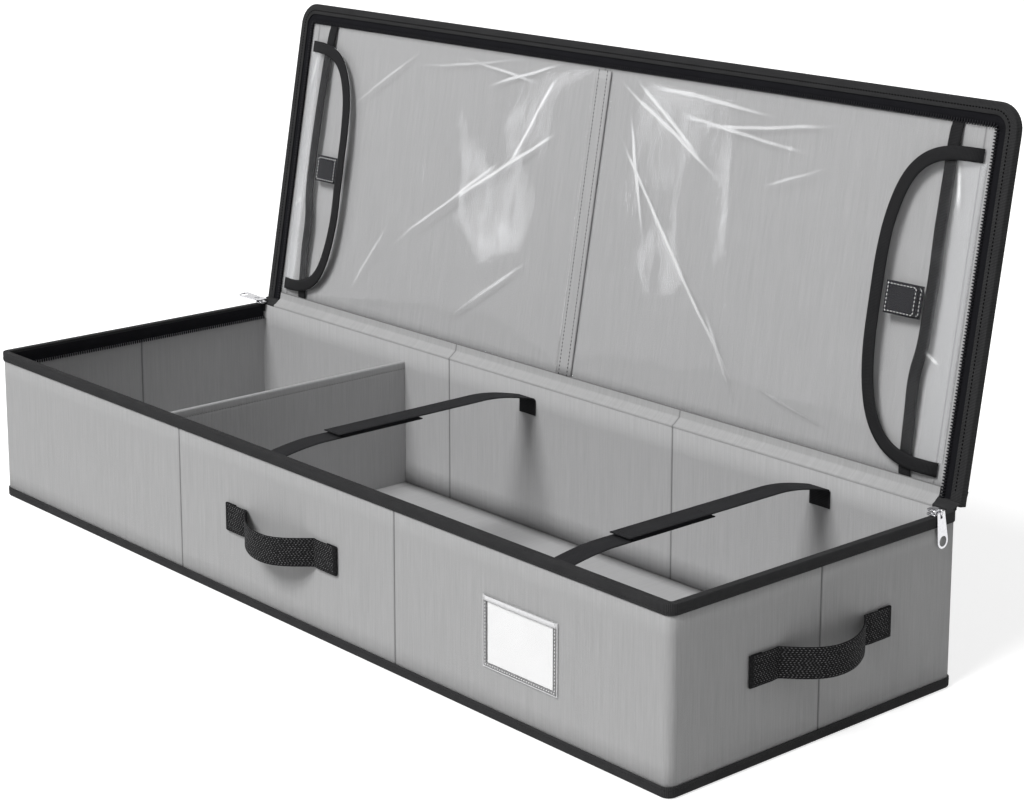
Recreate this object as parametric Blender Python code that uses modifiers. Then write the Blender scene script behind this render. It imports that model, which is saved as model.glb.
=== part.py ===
"""Gift wrap organizer: a long fabric-and-board box with a zip-around lid.

Metres, +Z up, +X along the length, -Y is the front. The origin is the centre of the
underside. The lid and all that it carries are modelled closed, flat over the box, and
hang on an empty on the hinge line that then turns them open.
"""
import math

import bmesh
import bpy
from mathutils import Matrix, Vector

for old in list(bpy.data.objects):
    bpy.data.objects.remove(old)

# The organizer as a whole
LENGTH = 1.040
DEPTH = 0.356
HEIGHT = 0.165
LID_LEAN = 10
CLOSED_GAP = 0.0070

# Cloth, board and film
CLEAR = 0.0003
COVER = 0.0010
BOARD = 0.0025
FLOOR_BOARD = 0.0030
LINING = 0.0008
BINDING = 0.0010
TAPE = 0.0008
FILM = 0.0005
WEBBING = 0.0016
STRAPPING = 0.0012
BACKING = 0.0006
CORNER = 0.0080
LID_CORNER = 0.0250
BOARD_GAP = 0.0040
SCORED = 0.0006

# Bindings and zip
RIM_LEG = 0.0100
UNDER_LEG = 0.0070
LID_LEG = 0.0120
BOX_TAPE_TOP = 0.0030
BOX_TAPE_WIDTH = 0.0130
ZIP_CORNER = 0.0022
LID_TAPE_EDGE = 0.0020
LID_TAPE_WIDTH = 0.0200
COIL = 0.0020

# Divider
DIVIDER_X = -0.24087 * LENGTH
DIVIDER_DROP = 0.0190

# Webbing handles
HANDLE_SPAN = 0.1760
HANDLE_END = 0.0190
HANDLE_WIDTH = 0.0280
HANDLE_BULGE = 0.0260
HANDLE_Z = 0.0850
HANDLE_SQUARE = 3.2

# Label pocket and card
POCKET_X = 0.32885 * LENGTH
POCKET_LOW = 0.0460
POCKET_WIDE = 0.0950
POCKET_HIGH = 0.0660
POCKET_HEM = 0.0050
CARD_WIDE = 0.0830
CARD_HIGH = 0.0570
CARD = 0.0004
CARD_PLAY = 0.0010

# Hold-down straps
STRAP_LEFT_X = -0.04038 * LENGTH
STRAP_RIGHT_X = 0.35096 * LENGTH
STRAP_WIDTH = 0.0250
STRAP_ROOT_DROP = 0.0160
STRAP_TOP_DROP = 0.0042
STRAP_RISE_RUN = 0.0700
STRAP_FRONT_TIP = 0.0200
STRAP_BACK_TIP = -0.0850
STRAP_PIVOT = 0.0010
STRAP_PATCH_INSET = 0.0050

# Zip sliders and pulls
SLIDER_LEFT_SETBACK = 0.0090
SLIDER_RIGHT_SETBACK = 0.0270
SLIDER_LONG = 0.0110
SLIDER_WIDE = 0.0110
SLIDER_TALL = 0.0052
SLIDER_PROUD = 0.0005
SLIDER_PLATE = 0.0013
SLIDER_POST = 0.0036
SLIDER_NOSE = 0.0030
RING_RADIUS = 0.0023
RING_WIRE = 0.0006
PULL_AXIS_OUT = 0.0026
PULL_AXIS_UP = 0.0034
PULL_PLATE = 0.0016
PULL_LONG = 0.0335
PULL_NECK = 0.0060
PULL_WIDE = 0.0095
PULL_BAR = 0.0015
PULL_SLOT_WIDE = 0.0024
PULL_SLOT_LONG = 0.0036
PULL_HOLE = 0.0054

# Lid pockets and their D-shaped flaps
FIELD_INSET = 0.0260
CENTRE_STRIP = 0.0220
MOUTH_INSET = 0.0645
MOUTH_TAPE = 0.0130
POCKET_CROWN = 0.0090
MOUTH_SHARE = 0.58
CROWN_PEAK_SHARE = 0.40
CROWN_END_POWER = 0.55
FLAP_LIFT = 0.0030
FLAP_REACH = 0.1000
FLAP_LOW = 0.0180
FLAP_LONG = 0.2950
FLAP_SQUARE = 3.2
FLAP_TAPE = 0.0130
FLAP_START = 0.0040
FLAP_PATCH_WIDE = 0.0360
FLAP_PATCH_HIGH = 0.0300
FLAP_PATCH_SETBACK = 0.0340
FLAP_PATCH_UP = 0.1680

# How finely round shapes are drawn
ARC_STEPS = 5
ROUND_STEPS = 16
HANDLE_STEPS = 20
STRAP_STEPS = 8
FILM_COLUMNS = 14
FILM_ROWS = 14
FLAP_STEPS = 28
FLAP_ROWS = 6
WELD = 0.00002
OVERRUN = 0.0020

# Places worked out from the sizes above
HALF_X = LENGTH / 2
HALF_Y = DEPTH / 2
BOARD_IN = COVER + CLEAR
LINING_IN = BOARD_IN + BOARD + CLEAR
WALL = LINING_IN + LINING
RIM_UNDER = HEIGHT - BINDING - CLEAR
BASE_UP = BINDING + CLEAR
FLOOR_TOP = BASE_UP + FLOOR_BOARD + CLEAR + LINING
TAPE_IN = WALL + CLEAR + BINDING + CLEAR
HINGE_Z = HEIGHT + CLOSED_GAP / 2

# Heights in the closed lid, from its underside up
LID_UNDER = HEIGHT + CLOSED_GAP
LID_TAPE_Z = LID_UNDER + BINDING + CLEAR
LID_LINING_Z = LID_TAPE_Z + TAPE + CLEAR
LID_BOARD_Z = LID_LINING_Z + LINING + CLEAR
LID_COVER_Z = LID_BOARD_Z + FLOOR_BOARD + CLEAR
LID_TOP = LID_COVER_Z + COVER + CLEAR + BINDING
FILM_Z = LID_LINING_Z - CLEAR - FILM / 2

# Colour, roughness, metallic and alpha
GREY_CLOTH = ((0.40, 0.40, 0.41), 0.85, 0.0, 1.0)
GREY_LINING = ((0.45, 0.45, 0.46), 0.85, 0.0, 1.0)
BLACK_BINDING = ((0.030, 0.031, 0.032), 0.75, 0.0, 1.0)
ZIP_TAPE = ((0.012, 0.012, 0.014), 0.85, 0.0, 1.0)
ZIP_COIL = ((0.012, 0.012, 0.014), 0.45, 0.0, 1.0)
BLACK_WEBBING = ((0.020, 0.020, 0.021), 0.80, 0.0, 1.0)
HOOK_LOOP = ((0.050, 0.050, 0.055), 0.95, 0.0, 1.0)
BOARDING = ((0.35, 0.27, 0.18), 0.90, 0.0, 1.0)
CLEAR_SHEET = ((0.92, 0.94, 0.96), 0.08, 0.0, 0.25)
WHITE_CARD = ((0.90, 0.90, 0.90), 0.60, 0.0, 1.0)
CHROME = ((0.75, 0.75, 0.77), 0.18, 1.0, 1.0)


def collection(name):
    made = bpy.data.collections.new(name)
    bpy.context.scene.collection.children.link(made)
    return made


PARTS = collection("gift_wrap_organizer")
GUIDES = collection("cutters_and_guides")
HOME = {}


def material(name, colour, roughness, metallic, alpha):
    made = bpy.data.materials.new(name)
    made.use_nodes = True
    shader = made.node_tree.nodes["Principled BSDF"]
    shader.inputs["Base Color"].default_value = (*colour, 1.0)
    shader.inputs["Roughness"].default_value = roughness
    shader.inputs["Metallic"].default_value = metallic
    shader.inputs["Alpha"].default_value = alpha
    made.diffuse_color = (*colour, alpha)
    return made


def hang(thing, axis):
    """Parents a thing that stands in its unturned place to the empty of its joint."""
    thing.parent = axis
    thing.matrix_parent_inverse = Matrix.Translation(-HOME[axis.name])


def joint_empty(name, place, carrier=None):
    """An empty at a joint, riding on another joint's empty if there is one."""
    made = bpy.data.objects.new(name, None)
    made.location = place
    HOME[name] = Vector(place)
    GUIDES.objects.link(made)
    if carrier:
        hang(made, carrier)
    return made


def finish(thing, paint, carrier=None):
    """Puts a piece in the parts' collection, with a material of its own."""
    PARTS.objects.link(thing)
    thing.data.materials.clear()
    thing.data.materials.append(material(f"{thing.name}_finish", *paint))
    if carrier:
        hang(thing, carrier)
    return thing


def as_guide(thing):
    thing.hide_render = True
    thing.display_type = "WIRE"
    GUIDES.objects.link(thing)
    return thing


def boolean(thing, tool, operation):
    step = thing.modifiers.new(operation.lower(), "BOOLEAN")
    step.operation = operation
    step.solver = "EXACT"
    step.object = tool


def mesh_object(name, bm):
    data = bpy.data.meshes.new(name)
    bm.to_mesh(data)
    bm.free()
    return bpy.data.objects.new(name, data)


def boxes(name, corners):
    """Separate rectangular solids in one object, each given by its low and high corner."""
    bm = bmesh.new()
    for low, high in corners:
        low, high = Vector(low), Vector(high)
        made = bmesh.ops.create_cube(bm, size=1)
        bmesh.ops.scale(bm, vec=high - low, verts=made["verts"])
        bmesh.ops.translate(bm, vec=(low + high) / 2, verts=made["verts"])
    return mesh_object(name, bm)


def panel(name, low, high, paint, carrier=None):
    return finish(boxes(name, [(low, high)]), paint, carrier)


def arc(centre, radius, start, end, steps=ARC_STEPS):
    """Points round an arc, with its angles in degrees."""
    turns = [math.radians(start + (end - start) * i / steps) for i in range(steps + 1)]
    return [(centre[0] + radius * math.cos(a), centre[1] + radius * math.sin(a)) for a in turns]


def rounded_plan(inset, radius):
    """The box's plan drawn in by an inset, as a closed anticlockwise outline."""
    x, y, r = HALF_X - inset, HALF_Y - inset, radius
    return (
        arc((x - r, -y + r), r, -90, 0)
        + arc((x - r, y - r), r, 0, 90)
        + arc((-x + r, y - r), r, 90, 180)
        + arc((-x + r, -y + r), r, 180, 270)
    )


def three_sides(inset, radius, back_y):
    """A route round the left end, the front and the right end, stopping at back_y."""
    x, y, r = HALF_X - inset, HALF_Y - inset, radius
    return (
        [(-x, back_y)]
        + arc((-x + r, -y + r), r, 180, 270)
        + arc((x - r, -y + r), r, 270, 360)
        + [(x, back_y)]
    )


def curve_of(name, splines, cyclic, flat):
    """Straight-sided splines through points of two or three numbers."""
    data = bpy.data.curves.new(name, "CURVE")
    data.dimensions = "2D" if flat else "3D"
    for points in splines:
        spline = data.splines.new("POLY")
        spline.points.add(len(points) - 1)
        for spot, place in zip(spline.points, points):
            spot.co = (*place, *(0.0,) * (3 - len(place)), 1.0)
        spline.use_cyclic_u = cyclic
    return data


def solid_from(drawing):
    """The curve as a closed mesh with its caps welded on, in the curve's place."""
    GUIDES.objects.link(drawing)
    bpy.context.view_layer.update()
    drawn = drawing.evaluated_get(bpy.context.evaluated_depsgraph_get())
    data = bpy.data.meshes.new_from_object(drawn)
    place = drawing.matrix_world.copy()
    name = drawing.name
    bpy.data.objects.remove(drawing)
    bm = bmesh.new()
    bm.from_mesh(data)
    bmesh.ops.remove_doubles(bm, verts=bm.verts, dist=WELD)
    bmesh.ops.recalc_face_normals(bm, faces=bm.faces)
    bm.to_mesh(data)
    bm.free()
    made = bpy.data.objects.new(name, data)
    made.matrix_world = place
    return made


def slab(name, outlines, low, high):
    """A flat outline, with any holes after it, between two heights."""
    data = curve_of(name, outlines, True, True)
    data.fill_mode = "BOTH"
    data.extrude = (high - low) / 2
    drawing = bpy.data.objects.new(name, data)
    drawing.location = (0, 0, (low + high) / 2)
    return solid_from(drawing)


def bar_along_x(name, outline, x_low, x_high):
    """An outline of (y, z) points carried along X."""
    data = curve_of(name, [outline], True, True)
    data.fill_mode = "BOTH"
    data.extrude = (x_high - x_low) / 2
    drawing = bpy.data.objects.new(name, data)
    middle = (x_low + x_high) / 2
    drawing.matrix_world = Matrix(
        ((0, 0, 1, middle), (1, 0, 0, 0), (0, 1, 0, 0), (0, 0, 0, 1))
    )
    return solid_from(drawing)


def sweep(name, route, profile, cyclic=False):
    """A closed profile of (right of travel, up) points carried along a route."""
    shape = as_guide(bpy.data.objects.new(f"{name}_profile", curve_of(name, [profile], True, True)))
    data = curve_of(name, [route], cyclic, False)
    data.twist_mode = "Z_UP"
    data.bevel_mode = "OBJECT"
    data.bevel_object = shape
    data.use_fill_caps = not cyclic
    made = solid_from(bpy.data.objects.new(name, data))
    bpy.data.objects.remove(shape)
    return made


def strip(width, thick, out=0.0, up=0.0):
    """A rectangular profile round a point that lies out and up from the route."""
    return [
        (out - width / 2, up - thick / 2),
        (out + width / 2, up - thick / 2),
        (out + width / 2, up + thick / 2),
        (out - width / 2, up + thick / 2),
    ]


def sheet(name, grid, thick):
    """A grid of points as a sheet, thickened evenly to both sides."""
    bm = bmesh.new()
    rows = [[bm.verts.new(point) for point in row] for row in grid]
    for upper, lower in zip(rows, rows[1:]):
        for i in range(len(upper) - 1):
            bm.faces.new((upper[i], upper[i + 1], lower[i + 1], lower[i]))
    bmesh.ops.recalc_face_normals(bm, faces=bm.faces)
    made = mesh_object(name, bm)
    wall = made.modifiers.new("thickness", "SOLIDIFY")
    wall.thickness = thick
    wall.offset = 0
    wall.use_even_offset = True
    return made


def spread(start, stop, steps):
    return [start + (stop - start) * i / steps for i in range(steps + 1)]


def eased(start, stop, steps):
    """Places from start to stop that crowd together at both ends."""
    shares = [(1 - math.cos(math.pi * i / steps)) / 2 for i in range(steps + 1)]
    return [start + (stop - start) * share for share in shares]


# Box: the outer cover round the four walls, and the cloth under the floor
finish(
    slab(
        "outer_cover",
        [rounded_plan(0, CORNER), rounded_plan(COVER, CORNER - COVER)],
        BASE_UP,
        RIM_UNDER,
    ),
    GREY_CLOTH,
)
under_x = HALF_X - UNDER_LEG - CLEAR
under_y = HALF_Y - UNDER_LEG - CLEAR
panel("bottom_cover", (-under_x, -under_y, 0), (under_x, under_y, COVER), GREY_CLOTH)

# Box: stiffening boards, scored on the inside where the empty box folds flat: the long
# walls at the thirds, the ends at half
board_end_x = HALF_X - CORNER + BOARD_IN - CLEAR
board_end_y = HALF_Y - CORNER + BOARD_IN - CLEAR
board_out_x = HALF_X - BOARD_IN
board_out_y = HALF_Y - BOARD_IN


def scored_outline(end, scores):
    """A board seen from its edge, as (along, depth from its outer face) points."""
    points = [(-end, 0), (end, 0), (end, BOARD)]
    for score in scores:
        high, low = score + BOARD_GAP / 2, score - BOARD_GAP / 2
        points += [(high, BOARD), (high, SCORED), (low, SCORED), (low, BOARD)]
    return points + [(-end, BOARD)]


long_board = scored_outline(board_end_x, (board_end_x / 3, -board_end_x / 3))
end_board = scored_outline(board_end_y, (0,))
for wall, plan in (
    ("front", [(a, d - board_out_y) for a, d in long_board]),
    ("back", [(a, board_out_y - d) for a, d in long_board]),
    ("left", [(d - board_out_x, a) for a, d in end_board]),
    ("right", [(board_out_x - d, a) for a, d in end_board]),
):
    finish(slab(f"{wall}_board", [plan], BASE_UP, RIM_UNDER), BOARDING)

floor_x = HALF_X - LINING_IN
floor_y = HALF_Y - LINING_IN
panel(
    "floor_board",
    (-floor_x, -floor_y, BASE_UP),
    (floor_x, floor_y, BASE_UP + FLOOR_BOARD),
    BOARDING,
)

# Box: lining of the walls and the floor
finish(
    slab(
        "wall_lining",
        [rounded_plan(LINING_IN, CORNER - LINING_IN), rounded_plan(WALL, CORNER - WALL)],
        FLOOR_TOP + CLEAR,
        RIM_UNDER,
    ),
    GREY_LINING,
)
panel(
    "floor_lining",
    (-floor_x, -floor_y, FLOOR_TOP - LINING),
    (floor_x, floor_y, FLOOR_TOP),
    GREY_LINING,
)

# Box: black tape folded over the rim on three sides, and round the whole bottom edge
inner_leg = -WALL - CLEAR
rim_profile = [
    (CLEAR + BINDING, HEIGHT - RIM_LEG),
    (CLEAR + BINDING, HEIGHT),
    (inner_leg - BINDING, HEIGHT),
    (inner_leg - BINDING, HEIGHT - RIM_LEG),
    (inner_leg, HEIGHT - RIM_LEG),
    (inner_leg, HEIGHT - BINDING),
    (CLEAR, HEIGHT - BINDING),
    (CLEAR, HEIGHT - RIM_LEG),
]
rim_end = HALF_Y - CORNER
finish(sweep("top_binding", three_sides(0, CORNER, rim_end), rim_profile), BLACK_BINDING)
base_profile = [
    (CLEAR + BINDING, RIM_LEG),
    (CLEAR, RIM_LEG),
    (CLEAR, BINDING),
    (-UNDER_LEG, BINDING),
    (-UNDER_LEG, 0),
    (CLEAR + BINDING, 0),
]
finish(
    sweep("bottom_binding", rounded_plan(0, CORNER), base_profile, cyclic=True), BLACK_BINDING
)

# Hinge: the cover runs over the back rim and on into the lid. The fold is the joint, so
# the cloth below it belongs to the box and the cloth above it to the lid.
finish(
    bar_along_x(
        "hinge_fold_box",
        [
            (HALF_Y - WALL, HEIGHT - BINDING),
            (HALF_Y, HEIGHT - BINDING),
            (HALF_Y, HINGE_Z - CLEAR),
            (HALF_Y - BINDING, HINGE_Z - CLEAR),
            (HALF_Y - BINDING, HEIGHT),
            (HALF_Y - WALL, HEIGHT),
        ],
        -HALF_X + CORNER,
        HALF_X - CORNER,
    ),
    GREY_CLOTH,
)

# Divider: a board in a sleeve of lining cloth, across the box between the long walls
divider_half = BOARD / 2 + CLEAR + LINING
divider_low = FLOOR_TOP + CLEAR
divider_high = HEIGHT - DIVIDER_DROP
divider_y = HALF_Y - WALL - CLEAR
sleeve = panel(
    "divider_cover",
    (DIVIDER_X - divider_half, -divider_y, divider_low),
    (DIVIDER_X + divider_half, divider_y, divider_high),
    GREY_LINING,
)
hollow_half = BOARD / 2 + CLEAR
hollow_y = divider_y + OVERRUN
hollow = boxes(
    "divider_hollow",
    [
        (
            (DIVIDER_X - hollow_half, -hollow_y, divider_low - OVERRUN),
            (DIVIDER_X + hollow_half, hollow_y, divider_high - LINING),
        )
    ],
)
boolean(sleeve, as_guide(hollow), "DIFFERENCE")
panel(
    "divider_board",
    (DIVIDER_X - BOARD / 2, -divider_y, divider_low),
    (DIVIDER_X + BOARD / 2, divider_y, divider_high - LINING - CLEAR),
    BOARDING,
)

# Zip on the box: the tape hangs inside the rim, with the coil along its lower edge
tape_mid_z = HEIGHT - BOX_TAPE_TOP - BOX_TAPE_WIDTH / 2
coil_mid_z = tape_mid_z - BOX_TAPE_WIDTH / 2 - CLEAR - COIL / 2
finish(
    sweep(
        "box_zip_tape",
        three_sides(TAPE_IN + TAPE / 2, ZIP_CORNER, rim_end),
        strip(TAPE, BOX_TAPE_WIDTH, 0, tape_mid_z),
    ),
    ZIP_TAPE,
)
finish(
    sweep(
        "box_zip_coil",
        three_sides(TAPE_IN + COIL / 2, ZIP_CORNER, rim_end),
        strip(COIL, COIL, 0, coil_mid_z),
    ),
    ZIP_COIL,
)

# Handles: webbing sewn down at both ends, standing off the wall between them. Each
# swings up about its top edge.
loop_half = HANDLE_SPAN / 2 - HANDLE_END
sewn_off = CLEAR + WEBBING / 2


def handle_route():
    """Half a squared oval in plan, off the wall and back to it."""
    arm = loop_half - CLEAR - WEBBING / 2
    power = 2 / HANDLE_SQUARE
    route = []
    for turn in spread(-math.pi, 0, HANDLE_STEPS):
        across = math.copysign(abs(math.cos(turn)) ** power, math.cos(turn))
        out = abs(math.sin(turn)) ** power
        route.append((arm * across, -CLEAR - HANDLE_BULGE * out))
    return route


for side, middle, angle, ends in (
    ("front", (0, -HALF_Y), 0, ("left", "right")),
    ("right", (HALF_X, 0), 90, ("front", "back")),
    ("left", (-HALF_X, 0), -90, ("back", "front")),
):
    turn = Matrix.Rotation(math.radians(angle), 4, "Z")
    place = Matrix.Translation((*middle, HANDLE_Z)) @ turn
    loop = sweep(f"handle_{side}_loop", handle_route(), strip(WEBBING, HANDLE_WIDTH))
    loop.matrix_world = place
    top_edge = place @ Vector((0, -sewn_off, HANDLE_WIDTH / 2))
    finish(loop, BLACK_WEBBING, joint_empty(f"handle_{side}_axis", top_edge))
    for end, start in zip(ends, (-loop_half - HANDLE_END, loop_half)):
        one = place @ Vector((start, -CLEAR - WEBBING, -HANDLE_WIDTH / 2))
        other = place @ Vector((start + HANDLE_END, -CLEAR, HANDLE_WIDTH / 2))
        low = [min(a, b) for a, b in zip(one, other)]
        high = [max(a, b) for a, b in zip(one, other)]
        panel(f"handle_{side}_{end}_end", low, high, BLACK_WEBBING)

# Label pocket: clear film welded on three sides and open at the top, with a card in it
card_low = POCKET_LOW + POCKET_HEM
card_y = -HALF_Y - CLEAR
label_pocket = panel(
    "label_pocket",
    (POCKET_X - POCKET_WIDE / 2, card_y - CARD_PLAY - FILM, POCKET_LOW),
    (POCKET_X + POCKET_WIDE / 2, card_y, POCKET_LOW + POCKET_HIGH),
    CLEAR_SHEET,
)
room_half = CARD_WIDE / 2 + CLEAR
card_room = boxes(
    "card_room",
    [
        (
            (POCKET_X - room_half, card_y - CARD_PLAY, card_low - CLEAR),
            (POCKET_X + room_half, card_y + OVERRUN, POCKET_LOW + POCKET_HIGH + OVERRUN),
        )
    ],
)
boolean(label_pocket, as_guide(card_room), "DIFFERENCE")
card_face = card_y - CARD_PLAY / 2 + CARD / 2
panel(
    "label_card",
    (POCKET_X - CARD_WIDE / 2, card_face - CARD, card_low),
    (POCKET_X + CARD_WIDE / 2, card_face, card_low + CARD_HIGH),
    WHITE_CARD,
    joint_empty("label_card_slide", (POCKET_X, card_face, card_low)),
)

# Hold-down straps: two halves that overlap over the compartment, held by patches
strap_root_z = HEIGHT - STRAP_ROOT_DROP
strap_front_y = -HALF_Y + TAPE_IN + COIL + STRAP_PIVOT
strap_back_y = HALF_Y - WALL - STRAP_PIVOT
strap_back_z = HEIGHT - STRAP_TOP_DROP
hook_z = strap_back_z - STRAPPING / 2 - CLEAR - BACKING / 2
loop_z = hook_z - BACKING - CLEAR
strap_front_z = loop_z - BACKING / 2 - CLEAR - STRAPPING / 2
patch_near = STRAP_BACK_TIP + STRAP_PATCH_INSET
patch_far = STRAP_FRONT_TIP - STRAP_PATCH_INSET
strap_half = STRAP_WIDTH / 2


def strap_route(x, root_y, tip_y, flat_z):
    """Up from the wall, easing off, then level to the tip."""
    toward = math.copysign(1, tip_y - root_y)
    climb = [
        (
            x,
            root_y + toward * STRAP_RISE_RUN * share,
            strap_root_z + (flat_z - strap_root_z) * math.sin(math.pi / 2 * share),
        )
        for share in spread(0, 1, STRAP_STEPS)
    ]
    return climb + [(x, tip_y, flat_z)]


for side, x in (("left", STRAP_LEFT_X), ("right", STRAP_RIGHT_X)):
    for half, root_y, tip_y, flat_z, kind, patch_z in (
        ("front", strap_front_y, STRAP_FRONT_TIP, strap_front_z, "loop", loop_z),
        ("back", strap_back_y, STRAP_BACK_TIP, strap_back_z, "hook", hook_z),
    ):
        axis = joint_empty(f"strap_{side}_{half}_axis", (x, root_y, strap_root_z))
        route = strap_route(x, root_y, tip_y, flat_z)
        band = sweep(f"strap_{side}_{half}", route, strip(STRAP_WIDTH, STRAPPING))
        finish(band, BLACK_WEBBING, axis)
        panel(
            f"strap_{side}_{kind}_patch",
            (x - strap_half, patch_near, patch_z - BACKING / 2),
            (x + strap_half, patch_far, patch_z + BACKING / 2),
            HOOK_LOOP,
            axis,
        )

# Zip sliders on the rim, each with a wire ring on its outer side that holds the pull
slider_low = HEIGHT + CLEAR
slider_high = slider_low + SLIDER_TALL
slider_outer = HALF_X + SLIDER_PROUD
slider_inner = slider_outer - SLIDER_WIDE
slider_mid = (slider_outer + slider_inner) / 2
pull_x = HALF_X + PULL_AXIS_OUT
pull_z = HEIGHT + PULL_AXIS_UP
slider_half = SLIDER_LONG / 2


def slider(side, out, y):
    """out is -1 or 1, the way the slider faces along X."""
    outline = [
        (slider_inner + SLIDER_NOSE, y - slider_half),
        (slider_outer, y - slider_half),
        (slider_outer, y + slider_half),
        (slider_inner + SLIDER_NOSE, y + slider_half),
        (slider_inner, y + slider_half - SLIDER_NOSE),
        (slider_inner, y - slider_half + SLIDER_NOSE),
    ]
    body = slab(
        f"slider_{side}", [[(out * px, py) for px, py in outline]], slider_low, slider_high
    )
    channels = []
    for a, b in (
        (slider_inner - OVERRUN, slider_mid - SLIDER_POST / 2),
        (slider_mid + SLIDER_POST / 2, slider_outer - SLIDER_PLATE),
    ):
        low_x, high_x = sorted((out * a, out * b))
        channels.append(
            (
                (low_x, y - slider_half - OVERRUN, slider_low + SLIDER_PLATE),
                (high_x, y + slider_half + OVERRUN, slider_high - SLIDER_PLATE),
            )
        )
    boolean(body, as_guide(boxes(f"slider_{side}_channels", channels)), "DIFFERENCE")
    bow = arc((pull_x, pull_z), RING_RADIUS, -90, 90, ROUND_STEPS // 2)
    sunk = slider_outer - SLIDER_PLATE / 2
    bow = [(sunk, bow[0][1]), *bow, (sunk, bow[-1][1])]
    data = curve_of(f"slider_{side}_ring", [[(out * px, y, pz) for px, pz in bow]], False, False)
    data.bevel_depth = RING_WIRE
    data.bevel_resolution = 1
    data.use_fill_caps = True
    ring = as_guide(solid_from(bpy.data.objects.new(f"slider_{side}_ring", data)))
    boolean(body, ring, "UNION")
    slide = joint_empty(f"slider_{side}_slide", (out * slider_mid, y, slider_low))
    finish(body, CHROME, slide)
    return slide


def pull(side, out, y, raised, slide):
    """raised is how far the pull stands up from hanging, in degrees."""
    axis = joint_empty(f"pull_{side}_axis", (out * pull_x, y, pull_z), slide)
    axis.rotation_euler = (0, -out * math.radians(raised), 0)
    neck, wide, bar = PULL_NECK / 2, PULL_WIDE / 2, PULL_BAR / 2
    eye = (0, wide - PULL_LONG)
    plate = [(-neck, bar), *arc(eye, wide, 180, 360, ROUND_STEPS // 2), (neck, bar)]
    slot_half = PULL_SLOT_WIDE / 2
    slot_end = -bar - PULL_SLOT_LONG
    slot = [
        (-slot_half, -bar),
        (slot_half, -bar),
        (slot_half, slot_end),
        (-slot_half, slot_end),
    ]
    hole = arc(eye, PULL_HOLE / 2, 0, 360, ROUND_STEPS)[:-1]
    half = PULL_PLATE / 2
    body = slab(f"pull_{side}", [plate, slot, hole], -half, half)
    upright = Matrix(((0, 0, 1, 0), (1, 0, 0, 0), (0, 1, 0, 0), (0, 0, 0, 1)))
    body.matrix_world = Matrix.Translation(HOME[axis.name]) @ upright
    finish(body, CHROME, axis)


left_y = HALF_Y - SLIDER_LEFT_SETBACK
right_y = HALF_Y - SLIDER_RIGHT_SETBACK
pull("left", -1, left_y, 90, slider("left", -1, left_y))
pull("right", 1, right_y, 0, slider("right", 1, right_y))

# Lid: cover, boards and lining, modelled closed over the box
lid = joint_empty("lid_hinge_axis", (0, HALF_Y, HINGE_Z))
lid_in = BINDING + CLEAR


def lid_plan(inset, start_x=None):
    """The lid's outline, square at the hinge; with start_x, only from there to the right."""
    x, y, r = HALF_X - inset, HALF_Y - inset, LID_CORNER - inset
    left = [(-x, y)] + arc((-x + r, -y + r), r, 180, 270)
    if start_x is not None:
        left = [(start_x, y), (start_x, -y)]
    return left + arc((x - r, -y + r), r, 270, 360) + [(x, y)]


finish(
    slab("lid_lining", [lid_plan(lid_in)], LID_LINING_Z, LID_LINING_Z + LINING), GREY_LINING, lid
)
for side, out in (("left", -1), ("right", 1)):
    half_plan = [(out * px, py) for px, py in lid_plan(lid_in + CLEAR, BOARD_GAP / 2)]
    half = slab(f"lid_board_{side}", [half_plan], LID_BOARD_Z, LID_BOARD_Z + FLOOR_BOARD)
    finish(half, BOARDING, lid)
finish(slab("lid_cover", [lid_plan(lid_in)], LID_COVER_Z, LID_COVER_Z + COVER), GREY_CLOTH, lid)

# Lid: binding on three sides, the lid's half of the zip, and the fold at the hinge
lid_end = HALF_Y - LID_LEG - CLEAR
lid_edge = [
    (0, LID_UNDER),
    (0, LID_TOP),
    (-RIM_LEG, LID_TOP),
    (-RIM_LEG, LID_TOP - BINDING),
    (-BINDING, LID_TOP - BINDING),
    (-BINDING, LID_UNDER + BINDING),
    (-LID_LEG, LID_UNDER + BINDING),
    (-LID_LEG, LID_UNDER),
]
lid_route = three_sides(0, LID_CORNER, lid_end)
finish(sweep("lid_binding", lid_route, lid_edge), BLACK_BINDING, lid)
tape_mid = -LID_TAPE_EDGE - LID_TAPE_WIDTH / 2
finish(
    sweep(
        "lid_zip_tape", lid_route, strip(LID_TAPE_WIDTH, TAPE, tape_mid, LID_TAPE_Z + TAPE / 2)
    ),
    ZIP_TAPE,
    lid,
)
coil_mid = -LID_TAPE_EDGE - LID_TAPE_WIDTH + COIL / 2
finish(
    sweep("lid_zip_coil", lid_route, strip(COIL, COIL, coil_mid, LID_TAPE_Z - CLEAR - COIL / 2)),
    ZIP_COIL,
    lid,
)
finish(
    bar_along_x(
        "hinge_fold_lid",
        [
            (HALF_Y - BINDING, HINGE_Z + CLEAR),
            (HALF_Y, HINGE_Z + CLEAR),
            (HALF_Y, LID_TOP),
            (HALF_Y - LID_LEG, LID_TOP),
            (HALF_Y - LID_LEG, LID_TOP - BINDING),
            (HALF_Y - BINDING, LID_TOP - BINDING),
            (HALF_Y - BINDING, LID_UNDER + BINDING),
            (HALF_Y - LID_LEG, LID_UNDER + BINDING),
            (HALF_Y - LID_LEG, LID_UNDER),
            (HALF_Y - BINDING, LID_UNDER),
        ],
        -HALF_X,
        HALF_X,
    ),
    GREY_CLOTH,
    lid,
)

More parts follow.
